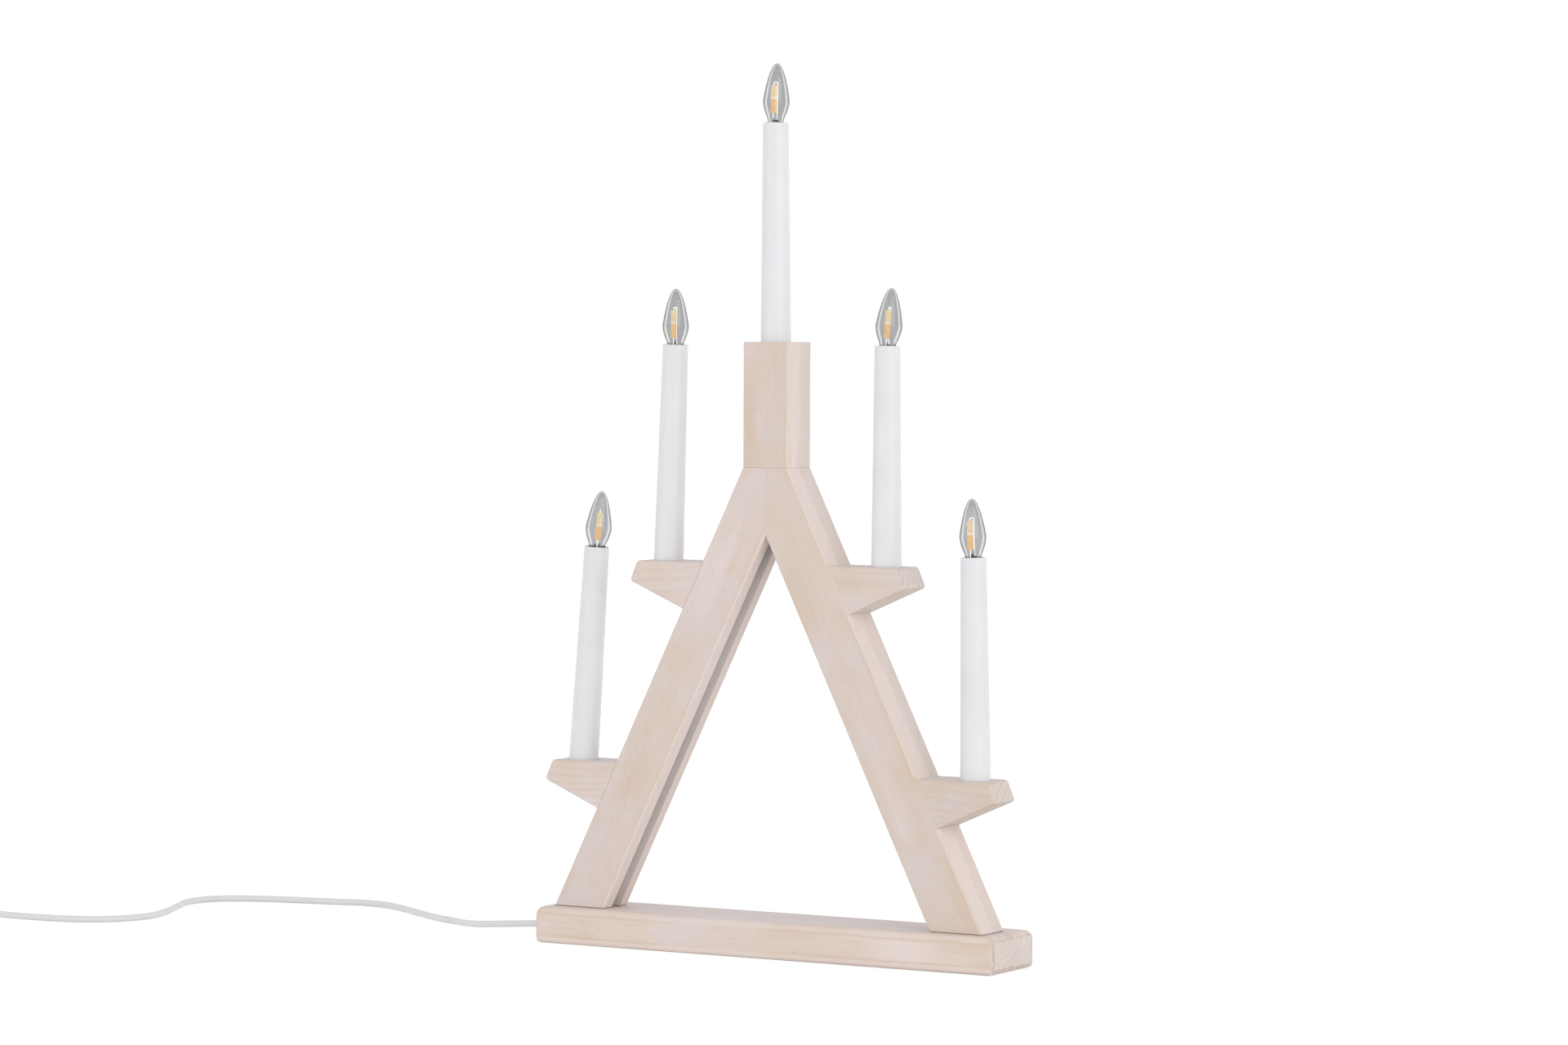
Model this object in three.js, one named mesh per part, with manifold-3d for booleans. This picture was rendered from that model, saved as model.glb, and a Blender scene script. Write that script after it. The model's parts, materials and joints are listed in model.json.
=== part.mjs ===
// Electric advent candlestick: a whitewashed wooden A-frame on a base board,
// with a post and four wedge shelves that carry five candle tubes.
// Each tube holds an E10 lampholder with a screw-in flame-shaped LED lamp.
// Millimetres, +Z up, front towards -Y, origin under the middle of the base.

import * as THREE from 'three';
import { mergeVertices } from 'three/addons/utils/BufferGeometryUtils.js';
import Module from 'manifold-3d';

const wasm = await Module();
wasm.setup();

// Driving dimensions: the wooden frame

const base_length = 337;
const base_depth = 57;
const base_height = 24;
const base_top_round = 6;
const base_edge_round = 3;
const wood_thickness = 28;
const frame_inset = 8; // from the front of the base back to the front of the legs
const wood_ease = 0.7; // planed-off corners along the stock
const glue_line = 0.1; // between glued faces
const leg_width = 34.1;
const leg_slope = THREE.MathUtils.degToRad(26.1); // from upright
const foot_from_end = 10.5; // from each end of the base to the outer side of a foot
const post_width = 33.5;
const post_length = 79.7;
const shelf_top_length = 48.8;
const shelf_corner = 2; // how far the rounding of its outer corners reaches
const shelf_end_drop = 13;
const shelf_end_run = 5.6; // how far the slanted end leans out
const shelf_foot_drop = 30.1; // underside at the leg, below the top
const upper_shelf_drop = 61.3; // its top, below the foot of the post
const shelf_spacing = 131.5; // from the lower shelves' top to the upper ones'
const candle_from_end = 15.3; // hole centre from the outer end of the shelf's top
const centre_candle_x = -0.9; // the post's hole is drilled a little left of the middle

// Driving dimensions: cable ways cut in the wood

const channel_width = 9;
const channel_depth = 12;
const channel_past_hole = 4.5; // the channel runs on past the right foot hole
const groove_width = 10;
const groove_depth = 10;
const groove_lead_depth = 7; // how deep the lead lies in the groove
const foot_hole_radius = 4;
const post_bore_radius = 4.5;
const drill_radius = 3;
const drill_slope = THREE.MathUtils.degToRad(12.5);
const drill_start_below = 0.5; // the drill's axis starts just below the candle hole
const seat_depth = 10; // how deep a candle tube stands in the wood
const bore_below_apex = 14; // the post's bore runs on down between the legs

// Driving dimensions: candle tubes, lampholders and lamps

const tube_height = 139.2;
const tube_bottom_radius = 9.65;
const tube_top_radius = 8.1;
const tube_wall = 1;
const tube_rim_round = 0.6;
const holder_collar_radius = 6.6;
const holder_collar_top = 0.4; // below the rim of the tube
const holder_collar_height = 2.6;
const holder_shoulder_radius = 6.15;
const holder_shoulder_bottom = 5.6; // below the rim of the tube
const holder_body_radius = 5.6;
const holder_length = 17.4;
const holder_floor = 1.6;
const holder_stud_radius = 1.6;
const holder_collar_edge = 0.4;
const holder_mouth_radius = 5.65;
const thread_pitch = 1.814; // E10
const thread_crest_radius = 4.75;
const thread_root_radius = 4.25;
const thread_clearance = 0.22;
const holder_thread_top = 4.6; // below the rim of the tube
const holder_thread_turns = 3.5;
const cap_shoulder = 4.2; // below the rim of the tube
const cap_thread_length = 8.2;
const cap_thread_edge = 0.5; // chamfer at both ends of the thread
const cap_wall = 0.4;
const cap_bore_radius = 3.6;
const cap_flare_radius = 5.3;
const cap_flare_height = 2.5;
const insulator_height = 1;
const insulator_radius = 2.9;
const contact_radius = 2;
const contact_height = 1.3;
const contact_edge = 0.5;
const glass_wall = 0.8;
const glass_height = 37; // tip above the rim of the tube
const neck_radius = 4.5;
const neck_depth = 3.6; // below the rim of the tube
const strip_radius = 1.8;
const strip_edge = 0.5; // chamfer at both of its ends
const strip_length = 17.8;
const strip_bottom = 6.2;
const strip_offset = -1.9;
const support_wire = 0.7;
const support_offset = 0.8;
const support_top = 25.2;
const stem_radius = 3;
const stem_neck_radius = 0.9;
const stem_top = 4.6;

// Driving dimensions: leads, screws, cord and plug

const lead_radius = 1;
const lead_spacing = 2.8;
const lead_bend = 5;
const lead_leaves_groove = 16; // below the apex
const lead_meets_middle = 14; // above the apex
const lead_enters_tube = 12; // below the centre candle's seat
const lead_straight_below = 50; // from the rim of a tube down to where its lead runs straight
const lead_above_wood = 4;
const cord_radius = 2.2;
const cord_level = 9.6; // height of the cord and leads in the base's channel
const sheath_before_hole = 11.9; // the cord's sheath ends this far before the foot hole
const clamp_length = 12;
const clamp_from_end = 8;
const clamp_height = 8.6;
const screw_length = 42;
const screw_radius = 2;
const screw_head_radius = 4;
const screw_head_height = 3;
const screw_head_edge = 0.5; // the head's straight edge, before its cone
const screw_from_side = 18; // of the foot's outer side, on the base
const screw_spread = 9.5; // either side of the middle of the legs
const screw_sunk = 1.5;
const screw_point = 6;
const screw_recess_width = 1;
const screw_recess_depth = 1.6;
const screw_recess_share = 0.62; // of the head's radius
const coil_turns_per_layer = 2.5;
const coil_gap = 0.7; // between neighbouring turns
const coil_inner_radius = 19;
const coil_place = new THREE.Vector2(-469.5, -63.1); // from the cord's exit, like cord_route
const tail_length = 18; // from the coil to the plug
const cord_step = 3; // diameters between the rings of the free stretch
const tie_width = 7;
const tie_thickness = 0.6;
const plug_width = 35.3;
const plug_thickness = 13.7;
const plug_face_length = 9;
const plug_body_length = 34;
const plug_sleeve_length = 22;
const plug_sleeve_start = 0.5; // the sleeve's wall where the cord enters
const plug_sleeve_radius = 4;
const plug_neck_radius = 5.6;
const plug_flatness = 0.85; // of the neck, thickness to width
const plug_corner = 0.28; // of the half width, cut off each corner
const plug_side = 0.35; // of the half thickness, left straight at the sides
const pin_spacing = 18.6;
const pin_radius = 2;
const pin_length = 19;
const pin_sleeve_length = 10;
const pin_sleeve_radius = 1.85;

// Clearances

const fit = 0.3; // between pieces that seat in one another
const candle_fit = 0.35; // round a candle tube in its hole

// Where each candle stands and how it leans, in degrees from upright to the right.
// rise is how far the lamp sits above its usual place, spin how it is turned.

const candles = [
  { name: 'lower_left', side: -1, row: 'lower', lean: 4, lamp_lean: 6.2, rise: -0.8, spin: 122 },
  { name: 'upper_left', side: -1, row: 'upper', lean: 1.9, lamp_lean: 0.6, rise: -1.2, spin: 80 },
  { name: 'centre', side: 0, row: 'top', lean: -0.3, lamp_lean: 1.6, rise: 0.9, spin: 5 },
  { name: 'upper_right', side: 1, row: 'upper', lean: 0, lamp_lean: 4.6, rise: -0.6, spin: 90 },
  { name: 'lower_right', side: 1, row: 'lower', lean: -1, lamp_lean: -2, rise: -0.3, spin: 55 },
];

// The cord's route, chosen by hand: from the left end of the base down to the surface,
// back and round, and off to the left where the coil lies. The first two numbers are
// measured from where the cord leaves the base, the third from the surface.

const cord_lies = cord_radius + 0.1;

const cord_route = [
  [-0.3, 0, cord_level],
  [-12.5, -0.1, 9.4],
  [-25.5, 0.2, 8.5],
  [-43.5, 2.3, 7.0],
  [-63.5, 9.1, 5.0],
  [-81.5, 21.5, 3.2],
  [-99.5, 33.5, 2.4],
  [-121.5, 44.5, cord_lies],
  [-147.5, 61, cord_lies],
  [-173.5, 78.5, cord_lies],
  [-193.5, 88.5, cord_lies],
  [-213.5, 91, cord_lies],
  [-233.5, 86, cord_lies],
  [-255.5, 81.5, cord_lies],
  [-277.5, 76.5, cord_lies],
  [-297.5, 69, cord_lies],
  [-314.5, 56.5, cord_lies],
  [-319.5, 34.5, cord_lies],
  [-309.5, 6.5, cord_lies],
  [-296.5, -23.5, cord_lies],
  [-290.5, -51.5, cord_lies],
  [-299.5, -76.5, cord_lies],
  [-321.5, -91.5, cord_lies],
  [-351.5, -96.5, cord_lies],
  [-387.5, -96.3, 2.4],
  [-423.5, -95.3, 2.8],
  [-449.5, -94.9, 3.1],
];

// Colours and finishes

const finish = {
  wood: { color: 0xd9c9bb, roughness: 0.72, metalness: 0 },
  candle_plastic: { color: 0xe9e9eb, roughness: 0.42, metalness: 0 },
  holder_plastic: { color: 0xf1f0ec, roughness: 0.5, metalness: 0 },
  lead_plastic: { color: 0xf2f1ee, roughness: 0.45, metalness: 0 },
  cap_metal: { color: 0xc9b98a, roughness: 0.3, metalness: 1 },
  screw_metal: { color: 0xb9babd, roughness: 0.35, metalness: 1 },
  glass: { color: 0xe4ebee, roughness: 0.05, metalness: 0, transparent: true, opacity: 0.35 },
  filament: { color: 0xe3a94e, roughness: 0.5, metalness: 0 },
};

// Values worked out from the driving dimensions

const frame_y = -base_depth / 2 + frame_inset + wood_thickness / 2;
const foot_span = base_length - 2 * foot_from_end; // over the outer sides of the feet
const run_per_rise = Math.tan(leg_slope);
const leg_across = leg_width / Math.cos(leg_slope); // the leg's width on the level
const groove_across = groove_depth / Math.cos(leg_slope);
const outer_x = (z) => foot_span / 2 - run_per_rise * (z - base_height);
const inner_x = (z) => outer_x(z) - leg_across;
const level_where_outer = (x) => base_height + (foot_span / 2 - x) / run_per_rise;
const post_bottom = level_where_outer(post_width / 2);
const post_top = post_bottom + post_length;
const apex = level_where_outer(leg_across);
const levels = {
  lower: post_bottom - upper_shelf_drop - shelf_spacing,
  upper: post_bottom - upper_shelf_drop,
  top: post_top,
};
const foot_hole_x = inner_x(base_height) + groove_across / 2;
const screw_from_centre = foot_span / 2 - screw_from_side;
const sheath_end = -foot_hole_x - sheath_before_hole;
const sheath_length = base_length / 2 + sheath_end;
const coil_centre = new THREE.Vector2(coil_place.x - base_length / 2, coil_place.y + frame_y);
const holder_bottom = holder_length + holder_collar_top;
const holder_thread_bottom = holder_thread_top + holder_thread_turns * thread_pitch;
const cap_thread_bottom = cap_shoulder + cap_thread_length;
const contact_top = cap_thread_bottom + insulator_height + fit;

for (const candle of candles) {
  candle.level = levels[candle.row];
  candle.x = candle.side * (outer_x(candle.level) + shelf_top_length - candle_from_end);
  if (candle.side === 0) candle.x = centre_candle_x;
  candle.lean = THREE.MathUtils.degToRad(candle.lean);
  candle.lamp_lean = THREE.MathUtils.degToRad(candle.lamp_lean);
  candle.spin = THREE.MathUtils.degToRad(candle.spin);
}

// Helpers: closed meshes, cuts and joins

function signedVolume(geometry) {
  const p = geometry.attributes.position;
  const index = geometry.index;
  const a = new THREE.Vector3();
  const b = new THREE.Vector3();
  const c = new THREE.Vector3();
  let volume = 0;
  for (let i = 0; i < index.count; i += 3) {
    a.fromBufferAttribute(p, index.getX(i));
    b.fromBufferAttribute(p, index.getX(i + 1));
    c.fromBufferAttribute(p, index.getX(i + 2));
    volume += a.dot(b.cross(c)) / 6;
  }
  return volume;
}

// Keeps only positions, merges shared corners and turns the faces outwards.
function closed(geometry) {
  const plain = geometry.clone();
  for (const name of Object.keys(plain.attributes)) {
    if (name !== 'position') plain.deleteAttribute(name);
  }
  const merged = mergeVertices(plain, 1e-4);
  const kept = [];
  const index = merged.index;
  for (let i = 0; i < index.count; i += 3) {
    const face = [index.getX(i), index.getX(i + 1), index.getX(i + 2)];
    if (new Set(face).size === 3) kept.push(...face);
  }
  merged.setIndex(kept);
  if (signedVolume(merged) < 0) {
    for (let i = 0; i < kept.length; i += 3) [kept[i], kept[i + 1]] = [kept[i + 1], kept[i]];
    merged.setIndex(kept);
  }
  return merged;
}

function toSolid(geometry) {
  const mesh = closed(geometry);
  return new wasm.Manifold(new wasm.Mesh({
    numProp: 3,
    vertProperties: new Float32Array(mesh.attributes.position.array),
    triVerts: new Uint32Array(mesh.index.array),
  }));
}

function toGeometry(solid) {
  const mesh = solid.getMesh();
  const geometry = new THREE.BufferGeometry();
  geometry.setAttribute('position', new THREE.BufferAttribute(new Float32Array(mesh.vertProperties), 3));
  geometry.setIndex(new THREE.BufferAttribute(new Uint32Array(mesh.triVerts), 1));
  return geometry;
}

function carve(geometry, cutters) {
  let solid = toSolid(geometry);
  for (const cutter of cutters) solid = solid.subtract(toSolid(cutter));
  return toGeometry(solid);
}

function join(pieces) {
  let solid = toSolid(pieces[0]);
  for (const piece of pieces.slice(1)) solid = solid.add(toSolid(piece));
  return toGeometry(solid);
}

function shapeOf(points) {
  return new THREE.Shape(points.map(([x, y]) => new THREE.Vector2(x, y)));
}

// An outline in the XZ plane, carried from y0 to y1.
function prism(points, y0, y1) {
  const geometry = new THREE.ExtrudeGeometry(shapeOf(points), { depth: y1 - y0, bevelEnabled: false });
  return geometry.rotateX(Math.PI / 2).translate(0, y1, 0);
}

function box(x0, x1, y0, y1, z0, z1) {
  const geometry = new THREE.BoxGeometry(x1 - x0, y1 - y0, z1 - z0);
  return geometry.translate((x0 + x1) / 2, (y0 + y1) / 2, (z0 + z1) / 2);
}

// A profile of [radius, height] pairs, turned round the Z axis.
function turned(profile, segments) {
  const points = profile.map(([r, z]) => new THREE.Vector2(r, z));
  return new THREE.LatheGeometry(points, segments).rotateX(Math.PI / 2);
}

// A rod between two points, with the given number of sides.
function rod(from, to, radius, sides) {
  const start = new THREE.Vector3(...from);
  const way = new THREE.Vector3(...to).sub(start);
  const geometry = new THREE.CylinderGeometry(radius, radius, way.length(), sides);
  geometry.rotateX(Math.PI / 2).translate(0, 0, way.length() / 2);
  const turn = new THREE.Quaternion().setFromUnitVectors(new THREE.Vector3(0, 0, 1), way.normalize());
  return geometry.applyQuaternion(turn).translate(start.x, start.y, start.z);
}

// A curve whose steps fall exactly on the given points, so straight runs need few.
class Route extends THREE.Curve {
  constructor(points) {
    super();
    this.points = points;
  }

  getPoint(t, target = new THREE.Vector3()) {
    const place = t * (this.points.length - 1);
    const i = Math.min(Math.floor(place), this.points.length - 2);
    return target.lerpVectors(this.points[i], this.points[i + 1], place - i);
  }

  getPointAt(u, target) {
    return this.getPoint(u, target);
  }

  getTangentAt(u, target = new THREE.Vector3()) {
    const last = this.points.length - 1;
    const i = Math.round(u * last);
    const before = this.points[Math.max(i - 1, 0)];
    const here = this.points[i];
    const after = this.points[Math.min(i + 1, last)];
    const arriving = here.clone().sub(before).normalize();
    const leaving = after.clone().sub(here).normalize();
    return target.copy(arriving).add(leaving).normalize();
  }
}

function ring(radius, sides) {
  const points = [];
  for (let i = 0; i < sides; i++) {
    const angle = ((i + 0.5) / sides) * 2 * Math.PI;
    points.push([radius * Math.cos(angle), radius * Math.sin(angle)]);
  }
  return shapeOf(points);
}

function tubeAlong(points, radius, sides) {
  const steps = points.length - 1;
  const options = { steps, extrudePath: new Route(points), bevelEnabled: false };
  return new THREE.ExtrudeGeometry(ring(radius, sides), options);
}

// Replaces each corner of a path by a short curve that starts `reach` before it.
function roundedPath(corners, reach) {
  const points = [corners[0]];
  for (let i = 1; i < corners.length - 1; i++) {
    const here = corners[i];
    const back = corners[i - 1].clone().sub(here);
    const on = corners[i + 1].clone().sub(here);
    const size = Math.min(reach, back.length() / 2.2, on.length() / 2.2);
    const enter = here.clone().addScaledVector(back.normalize(), size);
    const leave = here.clone().addScaledVector(on.normalize(), size);
    const bend = new THREE.QuadraticBezierCurve3(enter, here, leave);
    points.push(...bend.getPoints(2));
  }
  points.push(corners[corners.length - 1]);
  return points;
}

// Closed skin over a stack of outlines with equal numbers of points.
function loft(rings) {
  const count = rings[0].length;
  const positions = rings.flat().flatMap((p) => [p.x, p.y, p.z]);
  const index = [];
  for (let j = 0; j < rings.length - 1; j++) {
    for (let i = 0; i < count; i++) {
      const a = j * count + i;
      const b = j * count + ((i + 1) % count);
      index.push(a, b, b + count, a, b + count, a + count);
    }
  }
  for (const [first, flip] of [[0, true], [(rings.length - 1) * count, false]]) {
    for (let i = 1; i < count - 1; i++) {
      index.push(first, first + (flip ? i + 1 : i), first + (flip ? i : i + 1));
    }
  }
  const geometry = new THREE.BufferGeometry();
  geometry.setAttribute('position', new THREE.Float32BufferAttribute(positions, 3));
  geometry.setIndex(index);
  return geometry;
}

// A helical screw thread of triangular form about the Z axis, with a right-hand pitch.
// It runs past both ends, so that a piece can be trimmed or tapped from it.
const thread_segments = 12;
const thread_rows = 2; // points per pitch: root and crest

function threadForm(low, high, offset) {
  const radii = [thread_root_radius + offset, thread_crest_radius + offset];
  const first = Math.floor(low / thread_pitch) - 2;
  const last = Math.ceil(high / thread_pitch) + 1;
  const rows = (last - first) * thread_rows;
  const positions = [];
  for (let j = 0; j <= rows; j++) {
    const radius = radii[j % thread_rows];
    for (let i = 0; i < thread_segments; i++) {
      const turn = i / thread_segments;
      const pitch_count = first + j / thread_rows + turn;
      const angle = turn * 2 * Math.PI;
      positions.push(radius * Math.cos(angle), radius * Math.sin(angle), pitch_count * thread_pitch);
    }
  }
  // Past the last column of a row comes the first one, a whole pitch further up.
  const vertex = (i, j) => {
    if (i < thread_segments) return j * thread_segments + i;
    return (j + thread_rows) * thread_segments;
  };
  const index = [];
  for (let j = 0; j < rows; j++) {
    for (let i = 0; i < thread_segments; i++) {
      const seam = i === thread_segments - 1;
      if (seam && j + 1 + thread_rows > rows) continue;
      const a = vertex(i, j);
      const b = vertex(i + 1, j);
      const c = vertex(i + 1, j + 1);
      const d = vertex(i, j + 1);
      index.push(a, b, c, a, c, d);
    }
  }
  // The two ends are fans from a point on the axis round the open edge.
  const foot = positions.length / 3;
  positions.push(0, 0, (first - 1) * thread_pitch, 0, 0, (last + 2) * thread_pitch);
  for (let i = 0; i < thread_segments; i++) index.push(foot, vertex(i + 1, 0), vertex(i, 0));
  for (let j = 0; j < thread_rows; j++) index.push(foot, vertex(0, j), vertex(0, j + 1));
  const top = rows;
  const lastColumn = thread_segments - 1;
  for (let i = 0; i < lastColumn; i++) index.push(foot + 1, vertex(i, top), vertex(i + 1, top));
  for (let j = top; j > top - thread_rows; j--) {
    index.push(foot + 1, vertex(lastColumn, j), vertex(lastColumn, j - 1));
  }
  index.push(foot + 1, vertex(lastColumn, top - thread_rows), vertex(0, top));
  const geometry = new THREE.BufferGeometry();
  geometry.setAttribute('position', new THREE.Float32BufferAttribute(positions, 3));
  geometry.setIndex(index);
  return geometry;
}

// The wooden frame

// Planed stock with eased corners along its length, standing on z = 0.
function stock(width, thickness, ease, length) {
  const x = width / 2;
  const y = thickness / 2;
  const outline = [
    [-x + ease, -y], [x - ease, -y], [x, -y + ease], [x, y - ease],
    [x - ease, y], [-x + ease, y], [-x, y - ease], [-x, -y + ease],
  ];
  return new THREE.ExtrudeGeometry(shapeOf(outline), { depth: length, bevelEnabled: false });
}

// One level of the base: a rectangle with round corners, drawn in by `inset`.
function baseRing(inset, z) {
  const corner_steps = 2;
  const points = [];
  for (const [sx, sy, turn] of [[1, -1, -90], [1, 1, 0], [-1, 1, 90], [-1, -1, 180]]) {
    const radius = Math.max(base_edge_round, inset + 0.2) - inset;
    const cx = sx * (base_length / 2 - inset - radius);
    const cy = sy * (base_depth / 2 - inset - radius);
    for (let i = 0; i <= corner_steps; i++) {
      const angle = THREE.MathUtils.degToRad(turn + (i / corner_steps) * 90);
      points.push(new THREE.Vector3(cx + radius * Math.cos(angle), cy + radius * Math.sin(angle), z));
    }
  }
  return points;
}

function screwHoles(radius, low, high) {
  const holes = [];
  for (const side of [-1, 1]) {
    for (const way of [-1, 1]) {
      const x = side * screw_from_centre;
      const y = frame_y + way * screw_spread;
      holes.push(rod([x, y, low], [x, y, high], radius, 8));
    }
  }
  return holes;
}

function baseBoard() {
  const rings = [];
  for (const share of [0, 0.5, 1]) {
    const angle = (1 - share) * Math.PI / 2;
    const inset = base_edge_round * (1 - Math.cos(angle));
    rings.push(baseRing(inset, base_edge_round * (1 - Math.sin(angle))));
  }
  for (const share of [0, 1 / 3, 2 / 3, 1]) {
    const angle = share * Math.PI / 2;
    const inset = base_top_round * (1 - Math.cos(angle));
    rings.push(baseRing(inset, base_height - base_top_round * (1 - Math.sin(angle))));
  }
  const half = channel_width / 2;
  const channel_end = foot_hole_x + channel_past_hole;
  const channel_start = -base_length / 2 - 1;
  const cutters = [
    box(channel_start, channel_end, frame_y - half, frame_y + half, -1, channel_depth),
  ];
  for (const side of [-1, 1]) {
    const x = side * foot_hole_x;
    const low = [x, frame_y, channel_depth - 1];
    cutters.push(rod(low, [x, frame_y, base_height + 1], foot_hole_radius, 12));
  }
  cutters.push(...screwHoles(screw_radius + fit, -1, base_height + 1));
  for (const side of [-1, 1]) {
    for (const way of [-1, 1]) {
      const low = -0.5;
      const mouth = screw_head_radius + fit;
      const edge = screw_sunk + screw_head_edge;
      const neck = screw_sunk + screw_head_height;
      const sink = turned([
        [0, low], [mouth, low], [mouth, edge], [screw_radius + fit, neck], [0, neck],
      ], 8);
      cutters.push(sink.translate(side * screw_from_centre, frame_y + way * screw_spread, 0));
    }
  }
  return carve(loft(rings), cutters);
}

// The drill for a side candle's leads, from its hole to the groove in the leg.
function drillLine(candle) {
  const start = new THREE.Vector3(
    candle.x - Math.sin(candle.lean) * seat_depth,
    frame_y,
    candle.level - Math.cos(candle.lean) * seat_depth - drill_start_below,
  );
  const way = new THREE.Vector3(-candle.side * Math.cos(drill_slope), 0, -Math.sin(drill_slope));
  return { start, way };
}

// Where a line at a given depth behind the leg's inner face passes a drill's axis.
function drillMeets(candle, depth) {
  const { start, way } = drillLine(candle);
  const behind = depth / Math.cos(leg_slope);
  // side * x = inner_x(z) + behind, with x and z on the drill's axis
  const gap = candle.side * start.x - inner_x(start.z) - behind;
  const closing = Math.cos(drill_slope) + run_per_rise * Math.sin(drill_slope);
  return start.clone().addScaledVector(way, gap / closing);
}

function drillCutter(candle) {
  const { start, way } = drillLine(candle);
  const from = start.clone().addScaledVector(way, -drill_radius);
  const to = drillMeets(candle, groove_depth / 2);
  return rod(from.toArray(), to.toArray(), drill_radius, 10);
}

function candleHole(candle) {
  const radius = tubeRadius(-seat_depth) + candle_fit;
  const above = seat_depth;
  const cutter = turned([[0, -seat_depth], [radius, -seat_depth], [radius, above], [0, above]], 24);
  return cutter.rotateY(candle.lean).translate(candle.x, frame_y, candle.level);
}

const sideCandles = candles.filter((candle) => candle.side !== 0);

function postBore() {
  const low = apex - bore_below_apex;
  return rod([0, frame_y, low], [0, frame_y, post_top + 1], post_bore_radius, 14);
}

// A leg's stock before its ends are sawn level, made bigger by `grow` on all four sides.
function legBar(side, grow) {
  const spare = leg_width; // past each end
  const length = (post_bottom - base_height) / Math.cos(leg_slope) + 2 * spare;
  const bar = stock(leg_width + 2 * grow, wood_thickness + 2 * grow, wood_ease, length);
  bar.translate(0, 0, -spare).rotateY(-side * leg_slope);
  const middle = outer_x(base_height) - leg_across / 2;
  return bar.translate(side * middle, frame_y, base_height);
}

// The groove along the inner face of a leg, open to the middle and past both ends.
function legGroove(side) {
  const low = 0;
  const high = post_bottom + leg_width;
  const groove = [
    [side * (inner_x(low) - leg_across), low],
    [side * (inner_x(low) + groove_across), low],
    [side * (inner_x(high) + groove_across), high],
    [side * (inner_x(high) - leg_across), high],
  ];
  return prism(groove, frame_y - groove_width / 2, frame_y + groove_width / 2);
}

function leg(side) {
  const beyond = side * base_length;
  const half_space = box(
    Math.min(0, beyond), Math.max(0, beyond),
    frame_y - wood_thickness, frame_y + wood_thickness,
    base_height, post_bottom,
  );
  const sawn = toSolid(legBar(side, 0)).intersect(toSolid(half_space));
  const screw_end = screw_sunk + screw_length + 1;
  const cutters = [
    legGroove(side),
    postBore(),
    ...screwHoles(screw_radius + fit, base_height - 1, screw_end),
  ];
  for (const candle of sideCandles) {
    if (candle.side === side) cutters.push(drillCutter(candle));
  }
  return carve(toGeometry(sawn), cutters);
}

function topPost() {
  const bar = stock(post_width, wood_thickness, wood_ease, post_length);
  bar.translate(0, frame_y, post_bottom + glue_line);
  const centre = candles.find((candle) => candle.side === 0);
  return carve(bar, [postBore(), candleHole(centre)]);
}

// A shelf's end follows the leg it is glued to, eased corners and all.
function shelf(candle) {
  const { side, level } = candle;
  const into_leg = 4;
  const root = outer_x(level);
  const end = root + shelf_top_length;
  const foot_level = level - shelf_foot_drop;
  const foot = outer_x(foot_level);
  const slope = (shelf_foot_drop - shelf_end_drop) / (end + shelf_end_run - foot);
  const corners = [
    [root - into_leg, level],
    [end, level],
    [end + shelf_end_run, level - shelf_end_drop],
    [foot - into_leg, foot_level - slope * into_leg],
  ];
  const path = roundedPath(corners.map(([x, z]) => new THREE.Vector3(side * x, z, 0)), shelf_corner);
  const options = {
    depth: wood_thickness - 2 * wood_ease,
    bevelThickness: wood_ease,
    bevelSize: wood_ease,
    bevelSegments: 1,
    bevelOffset: -wood_ease,
  };
  const outline = shapeOf(path.map(({ x, y }) => [x, y]));
  const block = new THREE.ExtrudeGeometry(outline, options).rotateX(Math.PI / 2);
  block.translate(0, frame_y + options.depth / 2, 0);
  return carve(block, [legBar(side, glue_line), candleHole(candle), drillCutter(candle)]);
}

function woodScrew() {
  const low = screw_sunk;
  const neck = low + screw_head_height;
  const tip = low + screw_length;
  const profile = [
    [0, low], [screw_head_radius, low], [screw_head_radius, low + screw_head_edge], [screw_radius, neck],
    [screw_radius, tip - screw_point], [0, tip],
  ];
  const slot = screw_recess_width / 2;
  const arm = screw_head_radius * screw_recess_share;
  const deep = low + screw_recess_depth;
  const cross = [
    box(-arm, arm, -slot, slot, low - 1, deep),
    box(-slot, slot, -arm, arm, low - 1, deep),
  ];
  return carve(turned(profile, 8), cross);
}

// Candle tubes, lampholders and lamps, each about its own upright axis

// The outer radius of a candle tube at a height above the wood.
function tubeRadius(h) {
  return tube_bottom_radius - ((tube_bottom_radius - tube_top_radius) * h) / tube_height;
}

function candleTube() {
  const low = -seat_depth + fit;
  const bore = (h) => tubeRadius(h) - tube_wall;
  const rim = tube_rim_round;
  const profile = [
    [bore(low), low], [tubeRadius(low), low],
    [tubeRadius(tube_height - rim), tube_height - rim],
    [tubeRadius(tube_height) - rim * 0.7, tube_height],
    [bore(tube_height), tube_height], [bore(low), low],
  ];
  return turned(profile, 24);
}

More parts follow.
